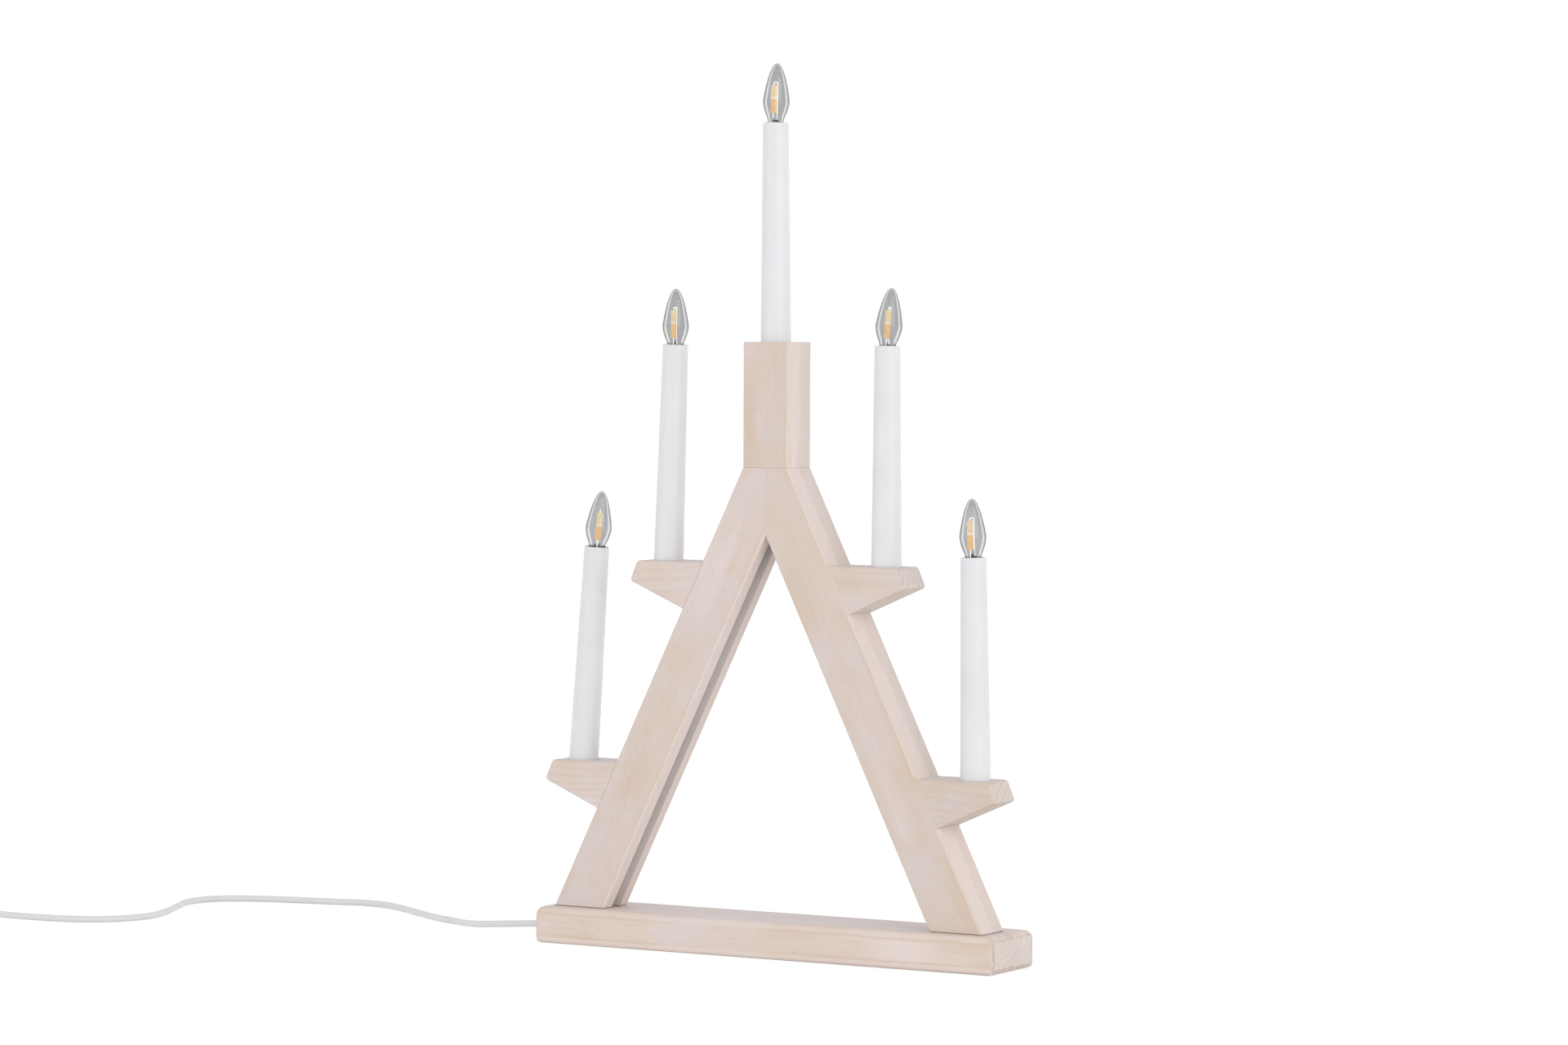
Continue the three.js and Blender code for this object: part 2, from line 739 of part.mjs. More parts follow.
function lampholder() {
  const top = -holder_collar_top;
  const below = top - holder_collar_height;
  const floor = -holder_bottom + holder_floor;
  const mouth_bottom = -holder_thread_top;
  const well = thread_crest_radius + thread_clearance + 0.1;
  const stud = holder_stud_radius;
  const stud_top = -(contact_top + contact_height + fit);
  const shoulder = -holder_shoulder_bottom;
  const body = turned([
    [0, -holder_bottom], [holder_body_radius, -holder_bottom], [holder_body_radius, shoulder],
    [holder_shoulder_radius, shoulder + holder_collar_edge], [holder_shoulder_radius, below],
    [holder_collar_radius, below + holder_collar_edge], [holder_collar_radius, top], [0, top],
  ], thread_segments);
  const mouth = turned([
    [0, mouth_bottom], [holder_mouth_radius, mouth_bottom], [holder_mouth_radius, 1], [0, 1],
  ], thread_segments);
  const low = -holder_thread_bottom;
  const chamber = turned([
    [0, stud_top], [stud, stud_top], [stud, floor], [well, floor], [well, low + 0.01], [0, low + 0.01],
  ], thread_segments);
  const trim = turned([
    [0, low], [well, low], [well, mouth_bottom + 0.01], [0, mouth_bottom + 0.01],
  ], thread_segments);
  const tap = toSolid(threadForm(low, mouth_bottom, thread_clearance)).intersect(toSolid(trim));
  const solid = toSolid(body).subtract(toSolid(mouth)).subtract(toSolid(chamber)).subtract(tap);
  return toGeometry(solid);
}

function bulbCap() {
  const top = -cap_shoulder;
  const low = -cap_thread_bottom;
  const foot = low - insulator_height;
  const flare = top + cap_flare_height;
  const edge = cap_thread_edge;
  const overlap = 0.2; // of the lathe-turned ends with the thread, before they are joined
  const trim = turned([
    [0, low], [thread_root_radius, low], [thread_crest_radius, low + edge],
    [thread_crest_radius, top - edge], [thread_root_radius, top], [0, top],
  ], thread_segments);
  const screw = toSolid(threadForm(low, top, 0)).intersect(toSolid(trim));
  const upper = turned([
    [0, top - edge], [thread_root_radius - overlap, top - edge], [cap_flare_radius, top + edge],
    [cap_flare_radius, flare], [0, flare],
  ], thread_segments);
  const base = turned([
    [0, foot], [insulator_radius, foot],
    [thread_root_radius - overlap, low + overlap], [0, low + overlap],
  ], thread_segments);
  const wide = cap_flare_radius - cap_wall;
  const bore = turned([
    [0, low + 2 * cap_wall], [cap_bore_radius, low + 2 * cap_wall],
    [cap_bore_radius, top - cap_wall], [wide, top + edge + overlap],
    [wide, flare + 1], [0, flare + 1],
  ], thread_segments);
  return toGeometry(screw.add(toSolid(upper)).add(toSolid(base)).subtract(toSolid(bore)));
}

function bulbContact() {
  const top = -contact_top;
  const low = top - contact_height;
  return turned([
    [0, low], [contact_radius - contact_edge, low], [contact_radius, low + contact_edge],
    [contact_radius, top], [0, top],
  ], 10);
}

// Flame outline of the glass, from the neck inside the tube to the tip.
function flamePoints(count, wall) {
  const curve = new THREE.SplineCurve([
    new THREE.Vector2(neck_radius, -neck_depth),
    new THREE.Vector2(4.75, -1.2),
    new THREE.Vector2(5.5, 2.2),
    new THREE.Vector2(7.35, 7),
    new THREE.Vector2(8.45, 12.4),
    new THREE.Vector2(7.75, 18),
    new THREE.Vector2(6.6, 23.6),
    new THREE.Vector2(5.1, 29.2),
    new THREE.Vector2(3.2, 34),
    new THREE.Vector2(1.5, 36.3),
    new THREE.Vector2(0, glass_height),
  ]);
  const points = curve.getPoints(count).map((p) => [Math.max(p.x - wall, 0), p.y]);
  points[count] = [0, glass_height - wall];
  return points;
}

function bulbGlass() {
  const outside = flamePoints(11, 0);
  const inside = flamePoints(6, glass_wall).reverse();
  const shown = inside.filter(([r], i) => r > 0.3 || i === 0);
  return turned([...outside, ...shown, outside[0]], 18);
}

// A glass stem that carries the coated rod on one wire, and a hooked wire over the top.
function bulbFilament() {
  const w = support_wire / 2;
  const top = support_top;
  const rod_top = strip_bottom + strip_length;
  const x = strip_offset;
  const thin = strip_radius - strip_edge;
  const sunk = 2 * support_wire; // how far a wire's end is held
  const stem = turned([
    [0, -neck_depth], [stem_radius, -neck_depth], [stem_radius * 0.75, 0],
    [stem_neck_radius, stem_top], [0, stem_top],
  ], 10);
  const coated = turned([
    [0, strip_bottom], [thin, strip_bottom], [strip_radius, strip_bottom + strip_edge],
    [strip_radius, rod_top - strip_edge], [thin, rod_top], [0, rod_top],
  ], 10);
  return join([
    stem,
    coated.translate(x, 0, 0),
    box(x - w, x + w, -w, w, -sunk, strip_bottom + sunk),
    box(x - w, x + w, -w, w, rod_top - sunk, top),
    box(x - w, support_offset + w, -w, w, top - support_wire, top),
    box(support_offset - w, support_offset + w, -w, w, sunk, top - w),
  ]);
}

// The string of single leads that joins the lamps, inside the wood and the tubes

const lampPlace = (candle) => {
  const height = tube_height + candle.rise;
  return new THREE.Vector3(
    candle.x + Math.sin(candle.lean) * height,
    frame_y,
    candle.level + Math.cos(candle.lean) * height,
  );
};

// From under a candle's lampholder down its tube to the wood.
function downTube(candle, y) {
  const lamp = lampPlace(candle);
  const drop = holder_bottom + fit;
  const start = new THREE.Vector3(
    lamp.x - Math.sin(candle.lamp_lean) * drop,
    frame_y + y,
    lamp.z - Math.cos(candle.lamp_lean) * drop,
  );
  const inTube = (h) => new THREE.Vector3(
    candle.x + Math.sin(candle.lean) * h,
    frame_y + y,
    candle.level + Math.cos(candle.lean) * h,
  );
  return [start, inTube(tube_height - lead_straight_below), inTube(lead_above_wood)];
}

// From a side candle's tube through the drilled way into the groove.
function throughDrill(candle, y) {
  const { start } = drillLine(candle);
  const turn = drillMeets(candle, groove_lead_depth);
  return [start, turn].map(({ x, z }) => new THREE.Vector3(x, frame_y + y, z));
}

// A point on the line that the leads follow in a leg's groove.
function inGroove(side, z, y) {
  return new THREE.Vector3(side * (inner_x(z) + groove_lead_depth / Math.cos(leg_slope)), frame_y + y, z);
}

const lowerEnd = (candle, y) => [...downTube(candle, y), ...throughDrill(candle, y)];
const [ll, ul, cc, ur, lr] = candles;
const near = -lead_spacing / 2;
const far = lead_spacing / 2;

function footLead(candle, y) {
  const { side } = candle;
  const foot = inGroove(side, base_height + lead_radius, y);
  return [
    new THREE.Vector3(sheath_end + fit, frame_y + y, cord_level),
    foot.clone().setZ(cord_level),
    foot,
    ...lowerEnd(candle, y).reverse(),
  ];
}

function spanLead(from, to, y) {
  const low = drillMeets(from, groove_lead_depth);
  const high = drillMeets(to, groove_lead_depth);
  const between = inGroove(from.side, (low.z + high.z) / 2, y);
  return [...lowerEnd(from, y), between, ...lowerEnd(to, y).reverse()];
}

function upperLead(candle, y) {
  const { side } = candle;
  return [
    ...lowerEnd(candle, y),
    inGroove(side, apex - lead_leaves_groove, y),
    new THREE.Vector3(side * lead_radius, frame_y + y, apex + lead_meets_middle),
    new THREE.Vector3(0, frame_y + y, post_top - seat_depth - lead_enters_tube),
    ...downTube(cc, y).reverse(),
  ];
}

// Two leads meet at each lamp, one on the near side of its middle and one on the far.
const leadRoutes = {
  lead_sheath_to_lower_left: footLead(ll, near),
  lead_lower_left_to_upper_left: spanLead(ll, ul, far),
  lead_upper_left_to_centre: upperLead(ul, near),
  lead_centre_to_upper_right: upperLead(ur, far).reverse(),
  lead_upper_right_to_lower_right: spanLead(lr, ur, near).reverse(),
  lead_lower_right_to_sheath: footLead(lr, far).reverse(),
};

// The mains cord, its clamp, coil, tie and plug

function cordInBase() {
  const start = [-base_length / 2, frame_y, cord_level];
  return rod(start, [sheath_end, frame_y, cord_level], cord_radius, 12);
}

// A plastic saddle pressed into the channel, with a slot that grips the cord.
function cordClamp() {
  const x0 = -base_length / 2 + clamp_from_end;
  const x1 = x0 + clamp_length;
  const half = channel_width / 2 - fit;
  const top = channel_depth - fit;
  const block = box(x0, x1, frame_y - half, frame_y + half, top - clamp_height, top);
  const slot = cord_radius + fit;
  return carve(block, [
    rod([x0 - 1, frame_y, cord_level], [x1 + 1, frame_y, cord_level], slot, 12),
    box(x0 - 1, x1 + 1, frame_y - slot, frame_y + slot, cord_level, top + 1),
  ]);
}

const coil_pitch = 2 * cord_radius + coil_gap;
const coil_low = cord_radius + tie_thickness + fit + 0.1;
const coil_outer_radius = coil_inner_radius + coil_pitch * coil_turns_per_layer;
const coil_front = coil_centre.y - coil_outer_radius;

// The loose coil: one spiral inwards by the surface and one outwards on top of it.
// It starts and ends at its front side, each end straight for one cord diameter.
function coilPoints() {
  const steps_per_turn = 24;
  const turns = 2 * coil_turns_per_layer;
  const end_run = 2 * cord_radius;
  const points = [new THREE.Vector3(coil_centre.x + end_run, coil_front, coil_low)];
  for (let i = 0; i <= turns * steps_per_turn; i++) {
    const turn = i / steps_per_turn;
    const inwards = Math.min(turn, coil_turns_per_layer);
    const outwards = Math.max(turn - coil_turns_per_layer, 0);
    const radius = coil_outer_radius - coil_pitch * (inwards - outwards);
    const climb = THREE.MathUtils.smoothstep(turn - coil_turns_per_layer, -0.25, 0.25);
    const angle = -Math.PI / 2 - turn * 2 * Math.PI;
    points.push(new THREE.Vector3(
      coil_centre.x + radius * Math.cos(angle),
      coil_centre.y + radius * Math.sin(angle),
      coil_low + coil_pitch * climb,
    ));
  }
  points.push(new THREE.Vector3(coil_centre.x - end_run, coil_front, coil_low + coil_pitch));
  return points;
}

// The least gap between turns, measured between points that are half a turn or more apart.
function leastGap(points) {
  let least = Infinity;
  for (let i = 0; i < points.length; i++) {
    for (let j = i + 12; j < points.length; j++) least = Math.min(least, points[i].distanceTo(points[j]));
  }
  return least - 2 * cord_radius;
}

const coil_points = coilPoints();
console.log('least gap in the coil', leastGap(coil_points).toFixed(2), 'mm');

// The free stretch from the base to the coil, as a smooth curve through its route.
function cordCurve() {
  const points = cord_route.map(([x, y, z]) => new THREE.Vector3(x - base_length / 2, frame_y + y, z));
  points.push(coil_points[0].clone().setX(coil_points[0].x + fit));
  return new THREE.CatmullRomCurve3(points);
}

function cordLead() {
  const curve = cordCurve();
  const steps = Math.round(curve.getLength() / (cord_step * 2 * cord_radius));
  return tubeAlong(curve.getSpacedPoints(steps), cord_radius, 8);
}

// From the coil down to the plug, which lies flat on the surface.
function cordTail() {
  const start = coil_points[coil_points.length - 1];
  const x = start.x - fit;
  const plug_level = plug_thickness / 2;
  const points = [];
  for (const share of [0, 0.15, 0.5, 0.85, 1]) {
    const drop = THREE.MathUtils.smoothstep(share, 0.1, 0.9);
    const level = THREE.MathUtils.lerp(start.z, plug_level, drop);
    points.push(new THREE.Vector3(x - share * tail_length, start.y, level));
  }
  return tubeAlong(points, cord_radius, 8);
}

// A strap of thin plastic round all the turns, at the coil's far left.
function coilTie() {
  const clear = fit + 0.6; // the turns bend and drift inside the width of the tie
  const outer = coil_outer_radius - coil_pitch / 4 + cord_radius + clear;
  const inner = coil_inner_radius + coil_pitch / 4 - cord_radius - clear;
  const x0 = coil_centre.x - outer;
  const x1 = coil_centre.x - inner;
  const z0 = coil_low - cord_radius - fit;
  const z1 = coil_low + coil_pitch + cord_radius + fit;
  const y0 = coil_centre.y - tie_width / 2;
  const y1 = coil_centre.y + tie_width / 2;
  const t = tie_thickness;
  return carve(box(x0 - t, x1 + t, y0, y1, z0 - t, z1 + t), [box(x0, x1, y0 - 1, y1 + 1, z0, z1)]);
}

// An eight-sided outline across the plug, `way` along it from its sleeve's end.
function plugRing(way, half_width, half_thickness, side_height, cut) {
  const outline = [
    [half_width, -side_height], [half_width, side_height],
    [half_width - cut, half_thickness], [cut - half_width, half_thickness],
    [-half_width, side_height], [-half_width, -side_height],
    [cut - half_width, -half_thickness], [half_width - cut, -half_thickness],
  ];
  const x = coil_points[coil_points.length - 1].x - fit - tail_length - fit - way;
  return outline.map(([y, z]) => new THREE.Vector3(x, coil_front + y, plug_thickness / 2 + z));
}

function roundPlugRing(way, radius) {
  const wide = radius * Math.cos(Math.PI / 8);
  const narrow = radius * Math.sin(Math.PI / 8);
  return plugRing(way, wide, wide, narrow, wide - narrow);
}

const plug_total = plug_sleeve_length + plug_body_length;

function plugBody() {
  const half_width = plug_width / 2;
  const half_thickness = plug_thickness / 2;
  const neck = plug_neck_radius;
  const thin = neck * plug_flatness;
  const face = plug_total - plug_face_length;
  const rings = [
    roundPlugRing(0, cord_radius + plug_sleeve_start),
    roundPlugRing(plug_sleeve_length, plug_sleeve_radius),
  ];
  const straight = plug_sleeve_length + 1;
  const section = (way, wide, thick) => plugRing(way, wide, thick, thick * plug_side, wide * plug_corner);
  for (const share of [0, 0.3, 0.65, 1]) {
    const grown = Math.sin((share * Math.PI) / 2);
    const wide = THREE.MathUtils.lerp(neck, half_width, grown);
    const thick = THREE.MathUtils.lerp(thin, half_thickness, grown);
    rings.push(section(THREE.MathUtils.lerp(straight, face, share), wide, thick));
  }
  rings.push(section(plug_total, half_width, half_thickness));
  return loft(rings);
}

function plugPin(side) {
  const profile = [
    [0, 0], [pin_sleeve_radius, 0], [pin_sleeve_radius, pin_sleeve_length],
    [pin_radius, pin_sleeve_length + 0.2], [pin_radius, pin_length - 1.5],
    [pin_radius * 0.6, pin_length], [0, pin_length],
  ];
  const pin = turned(profile, 10).rotateY(-Math.PI / 2);
  const face = plugRing(plug_total, 1, 1, 1, 0)[0];
  return pin.translate(face.x, coil_front + (side * pin_spacing) / 2, plug_thickness / 2);
}

// The assembly

const candlestick = new THREE.Group();

function add(parent, name, geometry, look) {
  const mesh = new THREE.Mesh(closed(geometry), new THREE.MeshStandardMaterial(finish[look]));
  mesh.name = name;
  parent.add(mesh);
  return mesh;
}

add(candlestick, 'base_board', baseBoard(), 'wood');
add(candlestick, 'left_leg', leg(-1), 'wood');
add(candlestick, 'right_leg', leg(1), 'wood');
add(candlestick, 'top_post', topPost(), 'wood');
for (const candle of sideCandles) add(candlestick, `shelf_${candle.name}`, shelf(candle), 'wood');

const screw = woodScrew();
for (const [side, side_name] of [[-1, 'left'], [1, 'right']]) {
  for (const [way, way_name] of [[-1, 'front'], [1, 'rear']]) {
    const mesh = add(candlestick, `leg_screw_${side_name}_${way_name}`, screw, 'screw_metal');
    mesh.position.set(side * screw_from_centre, frame_y + way * screw_spread, 0);
  }
}

const tube = candleTube();
const holder = lampholder();
const cap = bulbCap();
const contact = bulbContact();
const glass = bulbGlass();
const filament = bulbFilament();
for (const candle of candles) {
  const stand = new THREE.Group();
  stand.position.set(candle.x, frame_y, candle.level);
  stand.rotation.y = candle.lean;
  candlestick.add(stand);
  add(stand, `candle_tube_${candle.name}`, tube, 'candle_plastic');
  const lamp = new THREE.Group();
  lamp.position.z = tube_height + candle.rise;
  lamp.rotation.set(0, candle.lamp_lean - candle.lean, candle.spin);
  stand.add(lamp);
  add(lamp, `lampholder_${candle.name}`, holder, 'holder_plastic');
  add(lamp, `bulb_contact_${candle.name}`, contact, 'cap_metal');
  add(lamp, `bulb_cap_${candle.name}`, cap, 'cap_metal');
  add(lamp, `bulb_glass_${candle.name}`, glass, 'glass');
  add(lamp, `bulb_filament_${candle.name}`, filament, 'filament');
}

for (const [name, corners] of Object.entries(leadRoutes)) {
  add(candlestick, name, tubeAlong(roundedPath(corners, lead_bend), lead_radius, 6), 'lead_plastic');
}

add(candlestick, 'cord_in_base', cordInBase(), 'lead_plastic');
add(candlestick, 'cord_clamp', cordClamp(), 'holder_plastic');
add(candlestick, 'cord_lead', cordLead(), 'lead_plastic');
add(candlestick, 'cord_coil', tubeAlong(coil_points, cord_radius, 6), 'lead_plastic');
add(candlestick, 'cord_tail', cordTail(), 'lead_plastic');
add(candlestick, 'coil_tie', coilTie(), 'holder_plastic');
add(candlestick, 'plug_body', plugBody(), 'lead_plastic');
add(candlestick, 'plug_pin_front', plugPin(-1), 'screw_metal');
add(candlestick, 'plug_pin_rear', plugPin(1), 'screw_metal');

const coil_length = new Route(coil_points).getLength();
const cord_length = sheath_length + cordCurve().getLength() + coil_length + tail_length;
console.log('cord', cord_length.toFixed(0), 'mm, of which in the coil', coil_length.toFixed(0), 'mm');

export default candlestick;
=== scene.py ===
import json
import math

import bmesh
import bpy
import numpy as np
from bpy.props import FloatProperty, FloatVectorProperty, IntProperty, PointerProperty
from bpy.types import Operator, Panel, PropertyGroup
from mathutils import Matrix, Vector


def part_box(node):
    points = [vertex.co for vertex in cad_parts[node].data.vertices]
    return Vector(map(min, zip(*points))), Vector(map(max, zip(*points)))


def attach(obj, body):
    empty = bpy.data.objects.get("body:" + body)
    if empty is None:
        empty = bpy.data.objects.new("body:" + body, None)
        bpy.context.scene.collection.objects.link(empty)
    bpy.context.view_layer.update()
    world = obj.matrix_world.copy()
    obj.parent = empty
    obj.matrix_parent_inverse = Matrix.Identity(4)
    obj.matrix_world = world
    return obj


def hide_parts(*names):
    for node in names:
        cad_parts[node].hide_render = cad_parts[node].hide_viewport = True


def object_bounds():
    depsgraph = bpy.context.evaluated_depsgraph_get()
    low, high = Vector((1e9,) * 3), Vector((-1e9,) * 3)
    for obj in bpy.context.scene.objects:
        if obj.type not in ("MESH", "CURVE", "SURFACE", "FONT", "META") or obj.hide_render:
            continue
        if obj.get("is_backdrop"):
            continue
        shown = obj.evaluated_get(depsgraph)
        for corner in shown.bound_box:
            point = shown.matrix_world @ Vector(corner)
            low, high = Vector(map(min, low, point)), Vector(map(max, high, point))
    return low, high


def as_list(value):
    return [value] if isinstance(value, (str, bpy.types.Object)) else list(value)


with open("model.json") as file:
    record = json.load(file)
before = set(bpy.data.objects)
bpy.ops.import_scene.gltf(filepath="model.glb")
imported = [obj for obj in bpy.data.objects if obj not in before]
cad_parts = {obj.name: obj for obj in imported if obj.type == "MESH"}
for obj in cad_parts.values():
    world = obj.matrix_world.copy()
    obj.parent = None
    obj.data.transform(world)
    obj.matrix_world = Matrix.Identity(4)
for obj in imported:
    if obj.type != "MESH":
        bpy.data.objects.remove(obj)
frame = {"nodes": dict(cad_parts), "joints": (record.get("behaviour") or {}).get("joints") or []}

bl_info = {
    "name": "Advent Candlestick",
    "version": (1, 0, 0),
    "blender": (4, 5, 0),
    "location": "View3D > Sidebar > Candlestick",
    "description": "Dresses a wooden advent candlestick with five electric candles",
    "category": "Add Mesh",
}

cad_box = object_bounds()

MM = 0.001
STAND = "stand"

# The legs' lean, and how far the planes of their inner faces are from the origin.
LEG_LEAN = math.radians(26.1)
LEG_REACH = 118.35 * MM

# The candles, and how far each lamp is turned about its own axis, in degrees.
CANDLES = {"lower_left": 122, "upper_left": 80, "centre": 5, "upper_right": 90, "lower_right": 55}

# The cord's route on the surface, in millimetres, from the end of the base to its coil.
CORD_ROUTE = (
    (-168.6, -6.5, 9.6), (-181, -6.6, 9.4), (-194, -6.3, 8.5), (-212, -4.2, 7.0),
    (-232, 2.6, 5.0), (-250, 15, 3.2), (-268, 27, 2.4), (-290, 38, 2.3), (-316, 54.5, 2.3),
    (-342, 72, 2.3), (-362, 82, 2.3), (-382, 84.5, 2.3), (-402, 79.5, 2.3), (-424, 75, 2.3),
    (-446, 70, 2.3), (-466, 62.5, 2.3), (-483, 50, 2.3), (-488, 28, 2.3), (-478, 0, 2.3),
    (-465, -30, 2.3), (-459, -58, 2.3), (-468, -83, 2.3), (-490, -98, 2.3), (-520, -103, 2.3),
    (-556, -102.8, 2.4), (-592, -101.8, 2.8), (-618, -101.4, 3.1),
)

# Colours that whitewashed pine has in one kind of place each, among them painted light
# and shade: a sheen on faces turned up, highlights on arrises, shade in the legs'
# grooves and a shadow line at their feet.
TOP_SHEEN = (0.71, 0.656, 0.66)
END_GRAIN = (0.70, 0.645, 0.62)
END_RIM = (0.42, 0.31, 0.24)
PLANED_REAR, PLANED_FRONT = (0.725, 0.62, 0.575), (0.775, 0.675, 0.63)
# painted highlight along arrises
ARRIS_HIGHLIGHT = (0.80, 0.70, 0.655)
# painted shade in the legs' grooves, and painted shadow on the grooves' front walls
GROOVE_SHADE_DEEP, GROOVE_SHADE_LIGHT = (0.66, 0.60, 0.58), (0.82, 0.75, 0.73)
GROOVE_WALL_SHADOW = (0.25, 0.17, 0.12)
# painted shadow line where a leg meets the base
LEG_FOOT_SHADOW = (0.17, 0.10, 0.07)


# Sizes and colours that a user can change


def length(name, description, millimetres):
    look = {"unit": "LENGTH", "precision": 5}
    return FloatProperty(name=name, description=description, default=millimetres * MM, **look)


def colour(name, description, tone):
    return FloatVectorProperty(
        name=name, description=description, default=tone, size=3, subtype="COLOR", min=0, max=1
    )


def number(name, description, default, low, high, kind=FloatProperty):
    return kind(name=name, description=description, default=default, min=low, max=high)


class WoodLook(PropertyGroup):
    ring_spacing: length("Ring spacing", "Width of a year's growth", 4.2)
    rings: number("Rings", "How much the rings show through the wash", 0.16, 0, 1)
    streaks: number("Streaks", "How much the bare wood shows in streaks", 0.9, 0, 1)
    wash: colour("Wash", "Pigment of the whitewash", (0.705, 0.61, 0.575))
    cream: colour("Cream", "Wash where it lies thin", (0.70, 0.584, 0.508))
    # also the tone of the painted shade line beside the arris highlights
    bare: colour("Bare wood", "Streaks where the wash is rubbed off", (0.665, 0.515, 0.40))
    late: colour("Late wood", "Darker lines of the rings", (0.47, 0.345, 0.26))


class CandleSizes(PropertyGroup):
    foot_radius: length("Foot radius", "Radius of a tube at its lower end", 9.758)
    rim_radius: length("Rim radius", "Radius of a tube at its rim", 8.1)
    wall: length("Wall", "Thickness of a tube's wall", 1.0)
    rim_round: length("Rim rounding", "Rounding of a tube's edges", 0.6)
    segments: number("Segments", "Facets round a candle tube", 96, 24, 256, IntProperty)
    plastic: colour("Plastic", "Colour of the tubes", (0.772, 0.767, 0.778))


class LampSizes(PropertyGroup):
    pitch: length("Thread pitch", "Rise of the thread in one turn", 1.814)
    thread_depth: length("Thread depth", "Height of the thread from root to crest", 0.5)
    glass_wall: length("Glass wall", "Thickness of the glass", 0.8)
    rod_radius: length("Rod radius", "Radius of the light rod", 1.8)
    rod_length: length("Rod length", "Length of the light rod", 17.6)
    rod_foot: length("Rod foot", "Height of the rod above the rim of the tube", 5.4)
    wire: length("Wire", "Thickness of the support wires", 0.7)
    glass: colour("Glass", "Tint of the clear glass", (0.93, 0.94, 0.95))
    coating: colour("Coating", "Colour of the light rod", (0.96, 0.59, 0.25))


class CordSizes(PropertyGroup):
    radius: length("Radius", "Half the thickness of the cord", 2.2)
    coil_radius: length("Coil radius", "Radius of the coil's innermost turn", 19)
    coil_gap: length("Coil gap", "Gap between neighbouring turns", 0.7)
    coil_level: length("Coil level", "Height of the lower layer's middle", 3.2)
    turns: number("Turns", "Turns in each of the coil's two layers", 2.5, 1, 6)
    plastic: colour("Plastic", "Colour of the cord and the plug", (0.73, 0.73, 0.73))


class StageLook(PropertyGroup):
    key: number("Key light", "Power of the light from the right, in watts", 13.5, 0, 100)
    fill: number("Fill light", "Power of the light from the front left, in watts", 6, 0, 100)
    surround: number("Surround", "Light from all round", 0.97, 0, 2)


# Shapes, worked out as whole arrays


def stacked(*parts):
    """Coordinates side by side, each a number or an array that is spread to one shape."""
    return np.stack(np.broadcast_arrays(*parts), axis=-1)


def unit(vectors):
    """Vectors in the same directions with a length of 1."""
    return vectors / np.linalg.norm(vectors, axis=-1, keepdims=True)


def rounded(corners, radius, steps=4):
    """An open line of [r, z] corners. Each inner corner becomes a quadratic curve that
    starts `radius` before the corner and ends `radius` after it."""
    corners = np.array(corners, float)
    curves = []
    t = np.linspace(0, 1, steps + 1)[:, None]
    for before, here, after in zip(corners[:-2], corners[1:-1], corners[2:]):
        back, on = before - here, after - here
        a = here + back * min(radius / np.linalg.norm(back), 0.45)
        b = here + on * min(radius / np.linalg.norm(on), 0.45)
        curves.append((1 - t) ** 2 * a + 2 * t * (1 - t) * here + t ** 2 * b)
    return np.concatenate([corners[:1], *curves, corners[-1:]])


def turned(profile, segments):
    """Each [r, z] of a profile carried once round the Z axis: x = r cos a, y = r sin a."""
    angle = np.arange(segments) * 2 * np.pi / segments
    r, z = np.asarray(profile, float).T[..., None]
    return stacked(r * np.cos(angle), r * np.sin(angle), z)


def threaded(rows, low, high, pitch, depth):
    """Rows drawn in by a round-bottomed wave between the heights low and high. The
    wave's phase is the height over the pitch less the angle over a full turn, which
    makes a right-hand helix, and it fades out over a third of a pitch at both ends."""
    x, y, z = np.moveaxis(rows, -1, 0)
    radius = np.maximum(np.hypot(x, y), 1e-9)
    phase = z / pitch - np.arctan2(y, x) / (2 * np.pi)
    wave = (1 - np.cos(2 * np.pi * phase)) / 2
    fade = np.clip(np.minimum(z - low, high - z) / (pitch / 3), 0, 1)
    drawn = 1 - depth * wave * fade / radius
    return stacked(x * drawn, y * drawn, z)


def swept(path, section, upright=(0, 0, 1)):
    """A closed section of [across, up] pairs carried along a path. Across stays at
    right angles to the path and to the upright, and up is at right angles to both."""
    way = unit(np.gradient(path, axis=0))
    across = unit(np.cross(upright, way))
    up = np.cross(way, across)
    a, b = section.T[:, None, :, None]
    return path[:, None] + a * across[:, None] + b * up[:, None]


def superellipse(half_width, half_height, power=2.0, sides=24):
    """A closed ring of [across, up] pairs on which
    |across / half_width| ** power + |up / half_height| ** power = 1."""
    angle = np.arange(sides) * 2 * np.pi / sides
    c, s = np.cos(angle), np.sin(angle)
    reach = (np.abs(c) ** power + np.abs(s) ** power) ** (-1 / power)
    return stacked(half_width * reach * c, half_height * reach * s)


def smooth_route(points, steps):
    """A centripetal Catmull-Rom curve: between two points it blends the lines through
    them and their neighbours, with knots spaced by the square root of the distance."""

    def blend(a, b, low, high):
        return ((high - t) * a + (t - low) * b) / (high - low)

    p = np.asarray(points, float)
    p = np.concatenate([[2 * p[0] - p[1]], p, [2 * p[-1] - p[-2]]])
    out = []
    for a, b, c, d in zip(p[:-3], p[1:-2], p[2:-1], p[3:]):
        t1 = np.linalg.norm(b - a) ** 0.5
        t2 = t1 + np.linalg.norm(c - b) ** 0.5
        t3 = t2 + np.linalg.norm(d - c) ** 0.5
        t = np.linspace(t1, t2, steps, endpoint=False)[:, None]
        ab, bc, cd = blend(a, b, 0, t1), blend(b, c, t1, t2), blend(c, d, t2, t3)
        out.append(blend(blend(ab, bc, 0, t2), blend(bc, cd, t1, t3), t1, t2))
    return np.concatenate(out)


def smoothstep(value, low, high):
    t = np.clip((value - low) / (high - low), 0, 1)
    return t * t * (3 - 2 * t)


